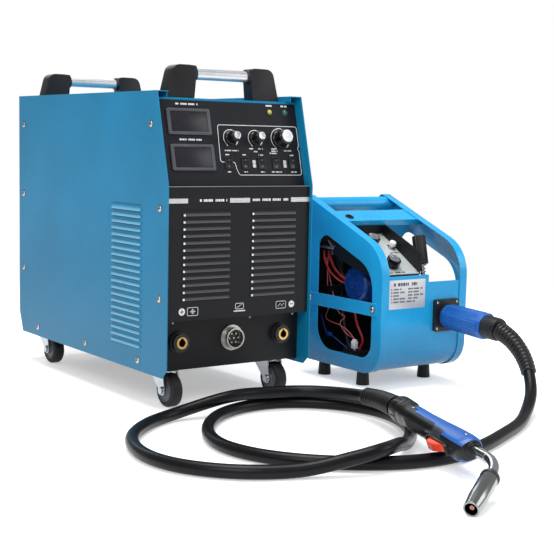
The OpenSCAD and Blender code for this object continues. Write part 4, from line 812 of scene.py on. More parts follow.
# What each solid is finished in; what isn't named here is black moulded ABS, or has a piece of its own
SOLIDS_IN = {
    "cabinet_coat": "left_cover right_cover top_plate", "panel_coat": "rear_panel control_panel",
    "bay_coat": "base_tray drive_plate remote_box feeder_rear_panel", "louvred_coat": "front_panel",
    "feeder_coat": "feeder_frames feeder_pan feeder_bars", "motor_coat": "drive_motor",
    "anodised_tube": "handle_tubes", "brushed_face": "remote_face", "cast_grey": "pressure_arm",
    "mill_aluminium": "power_unit", "turned_steel": "drive_roller idler_roller",
    "zinc": "front_left_fork front_right_fork rear_left_fork rear_right_fork",
    "nickel_socket": "control_socket", "socket_pair": "output_sockets",
    "neck_chrome": "torch_neck", "nozzle_plate": "gas_nozzle",
    "gloss_abs": "inductance_knob arc_force_knob current_knob gas_test_rocker mode_rocker wire_rocker "
                 "step_rocker remote_rocker breaker_lever remote_voltage_knob remote_current_knob",
    "bezel_abs": "panel_displays", "white_abs": "remote_button", "hub_plastic": "spool_hub",
    "torch_blue": "torch_connector", "trigger_orange": "torch_trigger", "grip_rubber": "torch_handle",
    "tyre_rubber": "front_left_wheel front_right_wheel rear_left_wheel rear_right_wheel",
    "foot_rubber": "feeder_feet", "wire_black": "feeder_wiring"}
FINISH_OF = {solid: name for name, solids in SOLIDS_IN.items() for solid in solids.split()}


class WELDER_OT_finishes(bpy.types.Operator):
    """Mixes the finishes and paints every solid with its own"""
    bl_idname = "welder.finishes"
    bl_label = "Finishes"

    def execute(self, context):
        mix_finishes()
        for name, obj in nodes.items():
            obj.data.materials.clear()
            obj.data.materials.append(finishes[FINISH_OF.get(name, "black_abs")])
        return {"FINISHED"}


# ---------------------------------------------------------------- cabinet detail

# Where the screws go, in millimetres: along and up each cover, then across and up their own planes
SIDE_SCREWS = ((594, 489), (61, 491), (595, 348), (28, 349), (596, 195), (28, 195), (526, 78), (309, 78), (102, 78))
BAY_SCREWS = ((-118, 151), (42, 151), (137, 151))
PLATE_SCREWS = ((-25, 25), (25, 25), (-25, -25), (25, -25))
REAR_SCREWS = ((-138, 520), (138, 520), (-138, 300), (138, 300), (-138, 84), (138, 84))


def cross_of(long, wide, tall, at):
    """Two crossed bars, about a height."""
    return joined([block((wide, long, tall), (0, 0, at), 0), block((long, wide, tall), (0, 0, at), 0)])


def screw_head(width, tall):
    """A pan head with a cross recess, standing on Z = 0."""
    r = width / 2
    head = lathe([(0, tall), (r * 0.35, tall * 0.98), (r * 0.68, tall * 0.8), (r * 0.92, tall * 0.42),
                  (r, tall * 0.12), (r, -0.2), (0, -0.2)], 20)
    return cut_out(head, cross_of(width * 0.62, width * 0.14, tall, tall * 0.95), crossing=True)


class WELDER_OT_screws(bpy.types.Operator):
    """Drives the cross-recessed screws of the covers, the bay, the socket plate and the feeder"""
    bl_idname = "welder.screws"
    bl_label = "Screws"

    def execute(self, context):
        width = context.scene.welder_sizes.screw_width / MM
        big, small = screw_head(width, 2.8), screw_head(5.2, 1.6)
        washer = lathe([(0, 0.55), (width * 0.62, 0.55), (width * 0.655, 0.3), (width * 0.655, -0.2), (0, -0.2)], 24)
        # Dark crosses set into the big heads' recesses: painted shade
        cross = cross_of(width * 0.58, width * 0.13, 1.0, 1.75)
        heads, recess_shades, washers = [], [], []
        for s in (-1, 1):
            facing_out = turned(90 * s, "Y")
            spots = [CABINET @ shift(150 * s, y, z) @ facing_out @ turned(17 + 31 * k, "Z")
                     for k, (y, z) in enumerate(SIDE_SCREWS)]
            if s < 0:
                spots += [FEEDER @ shift(-110.2, y, 155.95) @ facing_out @ turned(y - 40, "Z") for y in (25, 220)]
            for made, part in ((heads, big), (recess_shades, cross), (washers, washer)):
                made.extend(copy_of(part, spot) for spot in spots)
        for plane, spots, turn in ((BAY, BAY_SCREWS, 25), (SOCKET_PLATE, PLATE_SCREWS, 35), (REAR, REAR_SCREWS, 20)):
            heads += [copy_of(small, plane @ shift(x, z, 0) @ turned(turn * k, "Z")) for k, (x, z) in enumerate(spots)]
        for spare in (big, small, cross, washer):
            bpy.data.objects.remove(spare)
        finish(joined(heads), "panel_screws", "screw_nickel", smooth=40)
        # Painted shade in the cross recesses
        finish(joined(recess_shades), "screw_recess_shade", "black_ink")
        finish(joined(washers), "screw_washers", "washer_steel", smooth=30)
        return {"FINISHED"}


# Widths of letters as shares of their height, and the gap after each; every sixth is left out between words
LETTERS = (0.55, 0.8, 0.45, 1.0, 0.65, 0.9, 0.5)
LETTER_GAP = 0.22
WORD = 6


def print_rows(rows, height):
    """Short bars that stand for lines of print: each row is x from and to, its place up and its letter height."""
    stamp = block((1, 1, 1), (0, 0, 0), 0)
    bars = []
    for x0, x1, y, h in rows:
        x, k = x0, int(abs(x0 * 7 + y * 3))
        while x < x1:
            w = min(LETTERS[k % len(LETTERS)] * h, x1 - x)
            if k % WORD != WORD - 1 and w > 0.3:
                bars.append(copy_of(stamp, shift(x + w / 2, y, height / 2) @ Matrix.Diagonal((w, h, height, 1))))
            x += w + LETTER_GAP * h
            k += 1
    bpy.data.objects.remove(stamp)
    return bars


# The meters on the sloped panel: their place across, and the places up of both
METERS_AT = (-82, (49, 112))
# The rows of knobs and rockers on the sloped panel, by their bodies: place across, then size and height of a knob
KNOBS = (("inductance_knob", 0, 18, 22.3), ("arc_force_knob", 52, 18, 22.3), ("current_knob", 106, 27, 24.3))
KNOB_ROW = 85
ROCKERS = (("gas_test_rocker", -10), ("mode_rocker", 24.5), ("wire_rocker", 60), ("step_rocker", 91),
           ("remote_rocker", 128))
ROCKER_ROW = 40
# White fields in pairs, one over the other
FIELDS = [(x, y + half) for x, y in ((43.7, 38.8), (110.3, 39)) for half in (-3.5, 3.5)]
# The pole marks beside the output sockets
POLES = (-117, 113)


class WELDER_OT_panel_print(bpy.types.Operator):
    """Prints the outline, the scales and the marks on the sloped panel"""
    bl_idname = "welder.panel_print"
    bl_label = "Panel print"

    def execute(self, context):
        high = context.scene.welder_sizes.print_height / MM
        line = ([(-16.5, 41.6), (-21.5, 41.6)] + arc(-21.9, 46.1, 4.5, -90, -178, 5)
                + [(-24.4, 102)] + arc(-19.9, 104, 4.2, 178, 90, 5)
                + [(141, 108.5)] + arc(141.5, 104, 4.5, 90, 0, 5) + [(146, 72), (143.4, 69.5), (143.2, 66), (145.6, 63)]
                + arc(140.7, 23, 4.4, 0, -90, 5) + [(15, 18.6)] + arc(14, 24.6, 6, -90, -150, 4)
                + [(5.2, 30), (4.2, 36)] + arc(-0.8, 37, 4.8, 0, 88, 5) + [(-3.6, 41.7)])
        parts = [inked(line, 0.55, high)]
        # A scale round each knob that widens as it runs, and a dot past each of its ends
        for _, x, size, _ in KNOBS:
            r = size / 2 + 5.2
            inner = arc(x, KNOB_ROW, r, 232, -42, 24)
            outer = [on_circle(x, KNOB_ROW, r + 0.5 + 1.9 * k / 24, 232 - 274 * k / 24) for k in range(25)]
            parts.append(slab(outer + inner[::-1], high))
            for a in (237, -47):
                parts.append(slab(rounded_rect(2.0, 2.0, 0.8, *on_circle(x, KNOB_ROW, r + 1.4, a)), high))
        parts += print_rows([
            (-104, -60, 143.4, 3.0), (-104, -60, 80.6, 3.0),
            (-15, 13, 62.4, 2.1), (37, 45, 66.2, 2.1), (56, 66, 66.2, 2.1), (46, 56, 61, 2.1),
            (82, 96, 66.4, 2.1), (82, 98, 62.4, 2.1), (80, 97, 58.4, 2.1), (112, 128, 63.4, 2.1),
            (-15, -7, 55, 2.0), (21, 28, 55, 2.0), (55, 65, 55, 2.0), (122, 134, 55, 2.0),
            (-14, -5, 24.3, 2.0), (21, 28, 24.3, 2.0), (56, 65, 24.3, 2.0), (80, 102, 24.3, 2.0),
            (122, 134, 24.3, 2.0), (84, 97, 146, 3.0), (117, 130, 146, 3.0)], high)
        parts += [slab(rounded_rect(6.2, 5.9, 0.5, x, y), high) for x, y in FIELDS]
        finish(moved(joined(parts), SLOPE), "panel_print", "white_ink")
        marks = [slab(rounded_rect(0.7, 3.6, 0.2, x + dx, y), 0.1, high) for x, y in FIELDS for dx in (-1.5, 1.5)]
        finish(moved(joined(marks), SLOPE), "indicator_marks", "black_ink")
        return {"FINISHED"}


class WELDER_OT_front_print(bpy.types.Operator):
    """Lays the silver strips and prints the pole marks on the louvred front"""
    bl_idname = "welder.front_print"
    bl_label = "Front print"

    def execute(self, context):
        high = context.scene.welder_sizes.print_height / MM
        strips = [slab(rounded_rect(x1 - x0, 8, 0.4, (x0 + x1) / 2, 363), 0.3)
                  for x0, x1 in ((-148, -107.5), (-23, 18.6), (107, 148))]
        finish(moved(joined(strips), FRONT), "silver_strips", "silver_foil")
        ink = print_rows([(-84, -29, 363.4, 4.2), (24.5, 101, 363.4, 4.2)], high)
        ink += [slab(arc(x, 174, 6.2, 0, 345, 23), high) for x in POLES]
        for x0, x1, z0, z1 in ((-106, -85, 166.4, 180.4), (-8, 9, 172, 182), (79, 100, 167.6, 180.4)):
            edge = rounded_rect(x1 - x0, z1 - z0, 2, (x0 + x1) / 2, (z0 + z1) / 2)
            ink.append(inked(edge, 0.45, high, closed=True))
        ink.append(slab(rounded_rect(24, 2.0, 0.5, 0.5, 168.6), high))
        for points in (((-101, 173.4), (-90, 173.4)), ((-95.5, 168.6), (-95.5, 178.2)),
                       ((-6, 174), (0, 177), (6, 180.5)), ((83, 171), (88, 176.5), (92, 171.5), (96, 176.5))):
            ink.append(inked(points, 0.4, high))
        ink.append(inked(arc(-95.5, 173.4, 3.2, 0, 345, 23), 0.35, high, closed=True))
        finish(moved(joined(ink), FRONT), "front_print", "white_ink")
        dark = [slab(rounded_rect(8.0, 1.5, 0.3, x, 174), 0.1, high) for x in POLES]
        dark.append(slab(rounded_rect(1.5, 8.0, 0.3, POLES[0], 174), 0.1, high + 0.02))
        finish(moved(joined(dark), FRONT), "pole_marks", "black_ink")
        disc = lathe([(0, 4.6), (15.2, 4.6), (15.7, 4.1), (15.7, 3.9), (0, 3.9)], 40)
        collets = [moved(lathe([(1.5, 4.5), (2.4, 4.5), (2.4, 5.2), (1.5, 5.6)], 16),
                         shift(*on_circle(0, 0, 9, 60 * k), 0)) for k in range(6)]
        finish(moved(joined([disc] + collets), BAY @ shift(3, SOCKET_HEIGHT, 0)), "control_insert", "gloss_abs",
               smooth=30)
        # A painted highlight: a grey strip that stands for the light along the edge where the sloped panel meets the
        # louvred front
        trim = block((296, 1.2, 0.7), (0, 387.0, 0.15), 0.25)
        finish(moved(trim, FRONT), "front_edge_highlight", "grey_ink")
        return {"FINISHED"}


class WELDER_OT_panel_parts(bpy.types.Operator):
    """Glazes the meters and lamps, caps the knobs and marks the rockers"""
    bl_idname = "welder.panel_parts"
    bl_label = "Panel parts"

    def execute(self, context):
        x, heights = METERS_AT
        glass = [block((73.4, 35.4, 0.9), (x, y, 1.95), 0.3) for y in heights]
        finish(moved(joined(glass), SLOPE), "meter_windows", "meter_window")
        beads = [strand([(*point, 3.0) for point in rounded_rect(79.6, 40.6, 2.6, x, y)], 0.7, closed=True, sides=2)
                 for y in heights]
        finish(moved(joined(beads), SLOPE), "bezel_beads", "bezel_abs")
        for name, x, paint in (("yellow_lamp", 90, "lamp_yellow"), ("green_lamp", 124, "lamp_green")):
            lens = lathe([(0, 4.6), (1.4, 4.45), (2.7, 3.9), (3.7, 2.8), (4.2, 1.5), (4.25, 0.9), (0, 0.9)], 28)
            finish(moved(lens, SLOPE @ shift(x, 134, 0)), name, paint)
        # Spun caps with a turned rim and a pointer
        for body, x, size, tall in KNOBS:
            r = size / 2 - 1.9
            spot = SLOPE @ shift(x, KNOB_ROW, tall)
            cap = lathe([(0, 0.55), (r * 0.3, 0.55), (r * 0.32, 0.75), (r - 1.1, 0.85), (r - 0.9, 1.15),
                         (r - 0.25, 1.1), (r, 0.6), (r, -0.3), (0, -0.3)], 40)
            finish(moved(cap, spot), body[:-5] + "_cap", "turned_steel", body, smooth=25)
            mark = joined([block((0.9, r * 0.85, 0.5), (0, r * 0.55, 0.85), 0.15),
                           block((0.9, 0.5, tall - 8), (0, size / 2 + 0.55, -(tall - 8) / 2 - 1.5), 0.1)])
            finish(moved(mark, spot @ turned(38, "Z")), body[:-5] + "_pointer", "white_ink", body)
        for body, x in ROCKERS:
            spot = SLOPE @ shift(x, ROCKER_ROW, -3) @ turned(7, "X")
            dash = moved(block((0.7, 3.0, 0.24), (0, 0, 0), 0.05), shift(0, 5.6, 4.72) @ turned(12.5, "X"))
            ring = strand([(*point, 0) for point in arc(0, 0, 1.3, 0, 345, 23)], 0.28, closed=True, flat=0.45)
            ring = moved(ring, shift(0, -5.6, 4.72) @ turned(-12.5, "X"))
            finish(moved(joined([dash, ring]), spot), body + "_marks", "grey_ink", body)
        return {"FINISHED"}


class WELDER_OT_handles(bpy.types.Operator):
    """Moulds the handle brackets with their soft shoulders and the tube's collars"""
    bl_idname = "welder.handles"
    bl_label = "Handles"

    def execute(self, context):
        outline = (arc(2, 2, 2, 180, 270, 3) + arc(54.2, 2, 2, -90, -5, 3) + arc(55.6, 51.4, 5.2, -5, 88, 7)
                   + arc(27, 40.5, 16.5, 92, 168, 12))
        half = slab(outline, 28, -14)
        edit(half, "EDGE")
        bpy.ops.mesh.select_all(action="DESELECT")
        leave()
        for edge in half.data.edges:
            a, b = (half.data.vertices[i].co for i in edge.vertices)
            edge.select = abs(a.z - b.z) < 1e-6 and max(a.y, b.y) > 0.003
        edit_kept(half, edges=True)
        bpy.ops.mesh.bevel(offset=3.6 * MM, segments=4, affect="EDGES", clamp_overlap=True)
        leave()
        ridges = [block((1.6, 1.0, 24), (x, 57.1, 0), 0.4) for x in (30, 36, 42, 48)]
        collar = moved(lathe([(10.1, 0), (12.6, 0), (13.2, 1.0), (13.2, 5.5), (12.0, 7.2), (10.1, 7.2)], 40),
                       shift(57.2, 42.5, 0) @ turned(90, "Y"))
        half = joined([half] + ridges + [collar])
        pair = []
        for y in (81, 584):
            for s in (1, -1):
                twin = copy_of(half, CABINET @ shift(-117 * s, y, 537.5) @ Matrix.Diagonal((s, 1, 1, 1)) @ FACING_FRONT)
                if s < 0:
                    edit(twin, "FACE")
                    bpy.ops.mesh.flip_normals()
                    leave()
                pair.append(twin)
        bpy.data.objects.remove(half)
        finish(joined(pair), "handle_mouldings", "black_abs", replaces=["handle_brackets"],
               smooth=35)
        return {"FINISHED"}


# An axle's height, and how far it is behind its swivel
WHEEL_RADIUS, CASTER_TRAIL = 30, 26
CASTERS = (("front_left", -111, 82), ("front_right", 111, 82), ("rear_left", -111, 560), ("rear_right", 111, 560))


class WELDER_OT_casters(bpy.types.Operator):
    """Adds the wheels' hub discs, the ball races and the plate bolts"""
    bl_idname = "welder.casters"
    bl_label = "Casters"

    def execute(self, context):
        hub = lathe([(5, 0.9), (6.2, 1.0), (9, 0.3), (11, -2.2), (17.5, -2.6), (19.2, -1.2), (20.6, -1.1), (20.6, -3.4),
                     (5, -3.4)], 40)
        bolt = joined([lathe([(0, 3.6), (2.6, 3.6), (3.4, 3.0), (3.4, 0), (0, 0)], 6),
                       lathe([(0, 0.7), (4.6, 0.7), (4.9, 0.4), (4.9, 0), (0, 0)], 24)])
        bolts = []
        for name, x, y in CASTERS:
            sides = [copy_of(hub, CABINET @ shift(x + 12.4 * s, y - CASTER_TRAIL, WHEEL_RADIUS) @ turned(90 * s, "Y"))
                     for s in (-1, 1)]
            finish(joined(sides), name + "_hub_discs", "bezel_abs", name + "_wheel", smooth=30)
            race = lathe([(17, 64.1), (21.5, 64.1), (23.6, 64.9), (22.4, 66.0), (17, 66.0)], 48)
            finish(moved(race, CABINET @ shift(x, y, 0)), name + "_ball_race", "zinc",
                   name + "_caster", smooth=30)
            for dx in (-21, 21):
                for dy in (-21, 21):
                    bolts.append(copy_of(bolt, CABINET @ shift(x + dx, y + dy, 66) @ turned(180, "X")
                                         @ turned(dx + dy + x, "Z")))
        for spare in (hub, bolt):
            bpy.data.objects.remove(spare)
        finish(joined(bolts), "caster_plate_bolts", "screw_nickel", smooth=30)
        return {"FINISHED"}


# ---------------------------------------------------------------- feeder detail


# The windows' folds are tighter than the rim's
WINDOW_ROUND = 1.6


class WELDER_OT_feeder_frames(bpy.types.Operator):
    """Rounds the folds of the feeder's side frames, round the rim and round the windows"""
    bl_idname = "welder.feeder_frames"
    bl_label = "Feeder frames"

    def execute(self, context):
        piece = from_node("feeder_frames", 0.5)
        low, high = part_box("feeder_frames")
        mid = (low + high) / 2
        outer, window = [], []
        mesh = piece.data
        faces_at = {}
        for face in mesh.polygons:
            for key in face.edge_keys:
                faces_at.setdefault(key, []).append(face)
        for edge in mesh.edges:
            pair = faces_at.get(edge.key, [])
            if len(pair) != 2:
                continue
            # The side's own flat first, then the face across the edge
            flat, rim = sorted((face.normal for face in pair), key=lambda n: -abs(n.x))
            at = mesh.vertices[edge.vertices[0]].co
            at_side = min(abs(at.x - low.x), abs(at.x - high.x)) < 2e-5
            if abs(flat.x) > 0.99 and abs(rim.x) < 0.1 and at_side:
                faces_away = rim.y * (at.y - mid.y) + rim.z * (at.z - mid.z) > 0
                (outer if faces_away else window).append(edge.index)
        weight = mesh.attributes.new("bevel_weight_edge", "FLOAT", "EDGE")
        size = context.scene.welder_sizes.frame_round / MM
        for group, share in ((outer, 1.0), (window, min(1.0, WINDOW_ROUND / size))):
            for i in group:
                weight.data[i].value = share
        take(piece)
        fold = piece.modifiers.new("fold", "BEVEL")
        fold.limit_method = "WEIGHT"
        fold.width = size * MM
        fold.segments = 4
        fold.use_clamp_overlap = True
        bpy.ops.object.modifier_apply(modifier="fold")
        finish(piece, "feeder_side_frames", "feeder_coat", replaces=["feeder_frames"], smooth=40)
        return {"FINISHED"}


class WELDER_OT_rating_plate(bpy.types.Operator):
    """Fits the bare rating plate with its ruled lines of filler"""
    bl_idname = "welder.rating_plate"
    bl_label = "Rating plate"

    def execute(self, context):
        plate = slab(rounded_rect(93, 55, 1.2, -45.5, 184.5), 0.45, 0.0, 0.12)
        finish(moved(plate, FEEDER_FRONT), "rating_plate", "plate_foil")
        rows = [(-78, -20, 203.5, 6.0)]
        for k, (left, right) in enumerate(((26, 36), (34, 28), (22, 38), (38, 24), (60, 0))):
            rows += [(-84, -84 + left, 194.5 - 6 * k, 3.0), (-42, -42 + right, 194.5 - 6 * k, 3.0)]
        ink = print_rows(rows, 0.12)
        finish(moved(joined(ink), FEEDER_FRONT @ shift(0, 0, 0.43)), "plate_filler", "plate_ink")
        return {"FINISHED"}


class WELDER_OT_connector(bpy.types.Operator):
    """Shapes the blue eight-sided torch connector, its finger ribs and its black collar"""
    bl_idname = "welder.connector"
    bl_label = "Torch connector"

    def execute(self, context):
        clear()
        bpy.ops.mesh.primitive_cone_add(vertices=8, radius1=24.35 * MM, radius2=25.95 * MM, depth=105 * MM,
                                        location=(0, 0, 52.5 * MM), rotation=(0, 0, radians(22.5)))
        grip = settle(bpy.context.object)
        rounded_off(grip, 1.4, 3)
        ribs = []
        for k in range(8):
            for i in range(5):
                ribs.append(moved(block((1.3, 1.3, 86), (-6.4 + 3.2 * i, 22.75, 52), 0.35),
                                  turned(45 * k, "Z") @ turned(-0.8, "X")))
        finish(moved(joined([grip] + ribs), PLUG), "connector_grip", "torch_blue",
               replaces=["torch_connector"], smooth=30)
        nut = lathe([(0, -6.5), (20.5, -6.5), (22.5, -5), (22.5, -0.2), (21, 0.2), (19, 0.3), (0, 0.3)], 48)
        profile = [(12, 104.6), (20.8, 104.6), (21.5, 105.6)]
        for k in range(6):
            z = 107.5 + 4.4 * k
            profile += [(21.5, z), (20.7, z + 0.6), (20.7, z + 1.5), (21.5, z + 2.1)]
        profile += [(21.5, 133), (20.6, 136), (17.8, 137), (12, 137)]
        collar = lathe(profile, 48)
        finish(moved(joined([nut, collar]), PLUG), "connector_collar", "black_abs", smooth=30)
        return {"FINISHED"}


class WELDER_OT_tension_gear(bpy.types.Operator):
    """Makes the fluted tension knob, its stem and the coiled pressure spring"""
    bl_idname = "welder.tension_gear"
    bl_label = "Tension knob"

    def execute(self, context):
        # Fifteen shallow flutes, and a crown in two steps
        outline = []
        for k in range(120):
            a = 2 * pi * k / 120
            r = 13.4 - 0.55 * (1 - cos(15 * a))
            outline.append((r * cos(a), r * sin(a)))
        body = slab(outline, 52, 70)
        selected_by(body, lambda at, n: n.z > 0.9)
        for up, top, share in ((1.6, 123.6, 0.93), (0.9, 124.5, 0.84)):
            bpy.ops.mesh.extrude_region_move(TRANSFORM_OT_translate={"value": (0, 0, up * MM)})
            bpy.ops.transform.resize(value=(share, share, 1), center_override=(0, 0, top * MM))
        leave()
        skirt = lathe([(0, 66), (10.5, 66), (12.6, 67.2), (13.3, 69), (13.3, 70.4), (12.0, 70.8), (0, 70.8)], 48)
        cap = lathe([(0, 125.6), (6, 125.5), (9.6, 125.0), (10.6, 124.2), (10.6, 123.6), (0, 123.6)], 40)
        finish(moved(joined([body, skirt, cap]), TENSION), "tension_grip", "black_abs", "tension_knob",
               ["tension_knob"], smooth=35)
        turns = [(*on_circle(0, 0, 5.9, 20 * t), 8.6 + 56.2 * t / 162) for t in range(163)]
        coil = strand(turns, 1.05, sides=2)
        finish(moved(coil, TENSION), "pressure_spring", "turned_steel", "tension_knob", smooth=60)
        stem = lathe([(0, -14), (4.6, -14), (5, -13.4), (5, -8.6), (4.6, -8), (3, -8)]
                     + [p for k in range(28) for p in ((3.0, -6 + 0.5 * k), (2.7, -5.75 + 0.5 * k))]
                     + [(3, 8), (8.6, 8), (8.6, 10), (4.2, 10.6), (4.2, 63), (8.6, 63.6), (8.6, 65.8), (0, 65.8)], 28)
        finish(moved(stem, TENSION), "tension_stem", "turned_steel", "tension_knob", smooth=30)
        return {"FINISHED"}


REMOTE_KNOBS = (("remote_voltage_knob", 27), ("remote_current_knob", 101))


class WELDER_OT_remote_print(bpy.types.Operator):
    """Prints the scales of the remote box, sets its screws and moulds its lobed knobs"""
    bl_idname = "welder.remote_print"
    bl_label = "Remote print"

    def execute(self, context):
        ink = []
        for _, y in REMOTE_KNOBS:
            for k in range(11):
                a = 232 - 28.4 * k
                bar = block((0.8, 3.0 if k % 5 == 0 else 1.8, 0.16), (0, 0, 0.08), 0)
                ink.append(moved(bar, shift(*on_circle(54, y, 20.5, a), 0.05) @ turned(a - 90, "Z")))
            ink.append(strand([(*point, 0.05) for point in arc(54, y, 18, 232, -52, 30)], 0.35, flat=0.4))
        ink += [moved(b, shift(0, 0, 0.05)) for b in print_rows(
            [(34, 74, 5.5, 3.4), (38, 70, 127, 3.0), (9, 34, 64, 3.4), (80, 102, 68, 3.0), (9, 30, 40, 2.6),
             (9, 26, 88, 2.6)], 0.14)]
        finish(moved(joined(ink), REMOTE), "remote_scales", "black_ink")
        heads = []
        for x, y in ((6.5, 5.5), (101.5, 5.5), (6.5, 127), (101.5, 127)):
            heads.append(moved(screw_head(5.0, 1.5), REMOTE @ shift(x, y, 0.05)
                               @ turned(degrees(3 * x), "Z")))
        collar = lathe([(4.1, 0.05), (8.6, 0.05), (8.9, 0.5), (8.9, 1.4), (8.0, 1.8), (4.6, 1.8), (4.6, 1.2),
                        (4.1, 1.2)], 36)
        heads.append(moved(collar, REMOTE @ shift(95, 86, 0)))
        finish(joined(heads), "remote_screws", "screw_nickel", smooth=30)
        for body, y in REMOTE_KNOBS:
            spot = REMOTE @ shift(54, y, 19.35)
            lobes = [on_circle(0, 0, 12.95 + 0.85 * cos(radians(8 * a)), a) for a in [3.75 * k for k in range(96)]]
            grip = slab(lobes, 14.8, -16.2, 0.7)
            skirt = lathe([(0, -15.6), (13.9, -15.6), (13.9, -16.6), (13.2, -18.2), (13.2, -18.95), (0, -18.95)], 48)
            finish(moved(joined([grip, skirt]), spot), body[:-5] + "_grip", "gloss_abs", body,
                   [body], smooth=35)
            top = lathe([(0, -0.6), (7.4, -0.6), (7.8, -0.3), (10.0, -0.35), (10.6, -0.9), (10.6, -1.6), (0, -1.6)], 40)
            mark = moved(block((1.2, 6.0, 0.6), (0, 7.0, -0.2), 0.15), turned(30, "Z"))
            finish(moved(top, spot), body[:-5] + "_disc", "cast_grey", body, smooth=30)
            finish(moved(mark, spot), body[:-5] + "_pointer", "white_ink", body)
        return {"FINISHED"}


class WELDER_OT_drive_detail(bpy.types.Operator):
    """Dresses the drive with its roller nut, the motor's bell and bands, and the brass of the rear fittings"""
    bl_idname = "welder.drive_detail"
    bl_label = "Drive detail"

    def execute(self, context):
        nut = lathe([(0, 9.6), (3, 9.6), (3.4, 9.2), (7.6, 9.0), (9.3, 7.8), (9.35, 0.2), (8.6, -0.2), (0, -0.2)], 36)
        grips = [moved(block((1.1, 1.2, 7.4), (9.5, 0, 4.1), 0.3), turned(30 * k, "Z"))
                 for k in range(12)]
        where = FEEDER @ shift(60.6, 84, 123.8) @ turned(90, "Y")
        finish(moved(joined([nut] + grips), where), "roller_nut", "black_abs", "drive_roller", smooth=30)
        can = FEEDER @ shift(22, 134, 189.95) @ turned(-90, "Y")
        bell = lathe([(9.2, 94.3), (9.2, 88.4), (20, 88.4), (30.4, 88.2), (32.6, 86.4), (35.5, 83.4), (35.5, 74.5),
                      (35, 74.2), (33, 74.2), (33, 80)], 56)
        slots = [moved(block((5, 2.4, 12), (34.6, 0, 79), 0.6), turned(45 * k, "Z")) for k in range(8)]
        bolts = [moved(lathe([(0, 3.2), (2.4, 3.2), (3, 2.6), (3, 0), (0, 0)], 6),
                       shift(24 * cos(a), 24 * sin(a), 88.3)) for a in (0.8, 3.94)]
        finish(moved(joined([bell] + slots + bolts), can), "motor_end_bell", "motor_coat", smooth=30)
        band = [moved(lathe([(35.1, z), (35.7, z + 0.3), (35.7, z + 1.7), (35.1, z + 2)], 56), can) for z in (33, 68)]
        finish(joined(band), "motor_bands", "motor_coat", smooth=30)
        # Brass for what the rear panel's fittings show
        nipple = lathe([(0, 24.2), (3.4, 24.2), (4.2, 23.4)]
                       + [(r, z - 3.4 * k) for k in range(4) for r, z in ((4.85, 21.6), (4.55, 21.2), (4.55, 20.4))]
                       + [(4.6, 8.1), (0, 8.1)], 28)
        hexes = lathe([(0, 8.2), (6.6, 8.2), (7.3, 7.4), (7.3, 0.2), (0, 0.2)], 6)
        pin = lathe([(0, 26.2), (9.4, 26.2), (11.1, 24.6), (11.15, 5.0), (0, 5.0)], 36)
        brass = [moved(nipple, shift(-70, -165, 0)), moved(hexes, shift(-70, -165, 0)), moved(pin, shift(-60, -85, 0))]
        finish(moved(joined(brass), FEEDER_REAR), "rear_brass", "brass", smooth=30)
        return {"FINISHED"}


# Each lead: its radius, its finish and its route in the feeder; thin wires have a route each
THICK_LEADS = {
    "gas_tube": (5, "wire_black", ((-60, 230, 266), (-60, 216, 254), (-60, 198, 232), (-58, 184, 208),
                                   (-57, 178, 199.5), (-56, 168.8, 196.2))),
    "power_wire": (6, "wire_black", ((-36, 230, 250), (-36, 220, 219), (-38, 210, 170), (-40, 198, 110),
                                     (-46, 172, 62), (-54, 146, 50))),
    "motor_wire": (2.5, "wire_red", ((-54, 128, 59), (-52, 120, 80), (-56, 134, 110), (-50, 150, 136),
                                     (-46, 156.4, 159.4)))}
THIN_WIRES = {
    "signal_wires": (2.2, "wire_red", (
        ((-72, 212, 250), (-72, 206, 236), (-70, 192, 214), (-64, 176, 199), (-57, 167, 193)),
        ((-77, 206, 250), (-78, 200, 238), (-76, 186, 218), (-68, 173, 203), (-59, 165, 196)),
        ((-66, 217, 249), (-66, 210, 234), (-65, 196, 212), (-60, 180, 197), (-54, 168, 190)),
        ((-80, 216, 250), (-82, 211, 234), (-80, 197, 212), (-72, 182, 196), (-60, 172, 188)))),
    "thin_wires": (1.0, "wire_pink", (
        ((-72, 212, 250), (-78, 206, 210), (-80, 200, 165), (-76, 202, 136), (-74, 210, 112), (-72, 166, 104),
         (-70, 141, 94), (-67, 130, 83), (-66, 129, 78)),
        ((-74, 218, 236), (-76, 176, 140), (-75, 150, 124), (-77, 162, 110), (-70, 150, 90), (-64, 132, 82),
         (-66, 127, 78)))),
    "blue_wire": (1.0, "motor_coat", (
        ((-76, 226, 120), (-76, 212, 92), (-76, 202, 83), (-74, 190, 80), (-70, 160, 66), (-66, 150, 60)),))}
SCREW_PITCH = 9.28


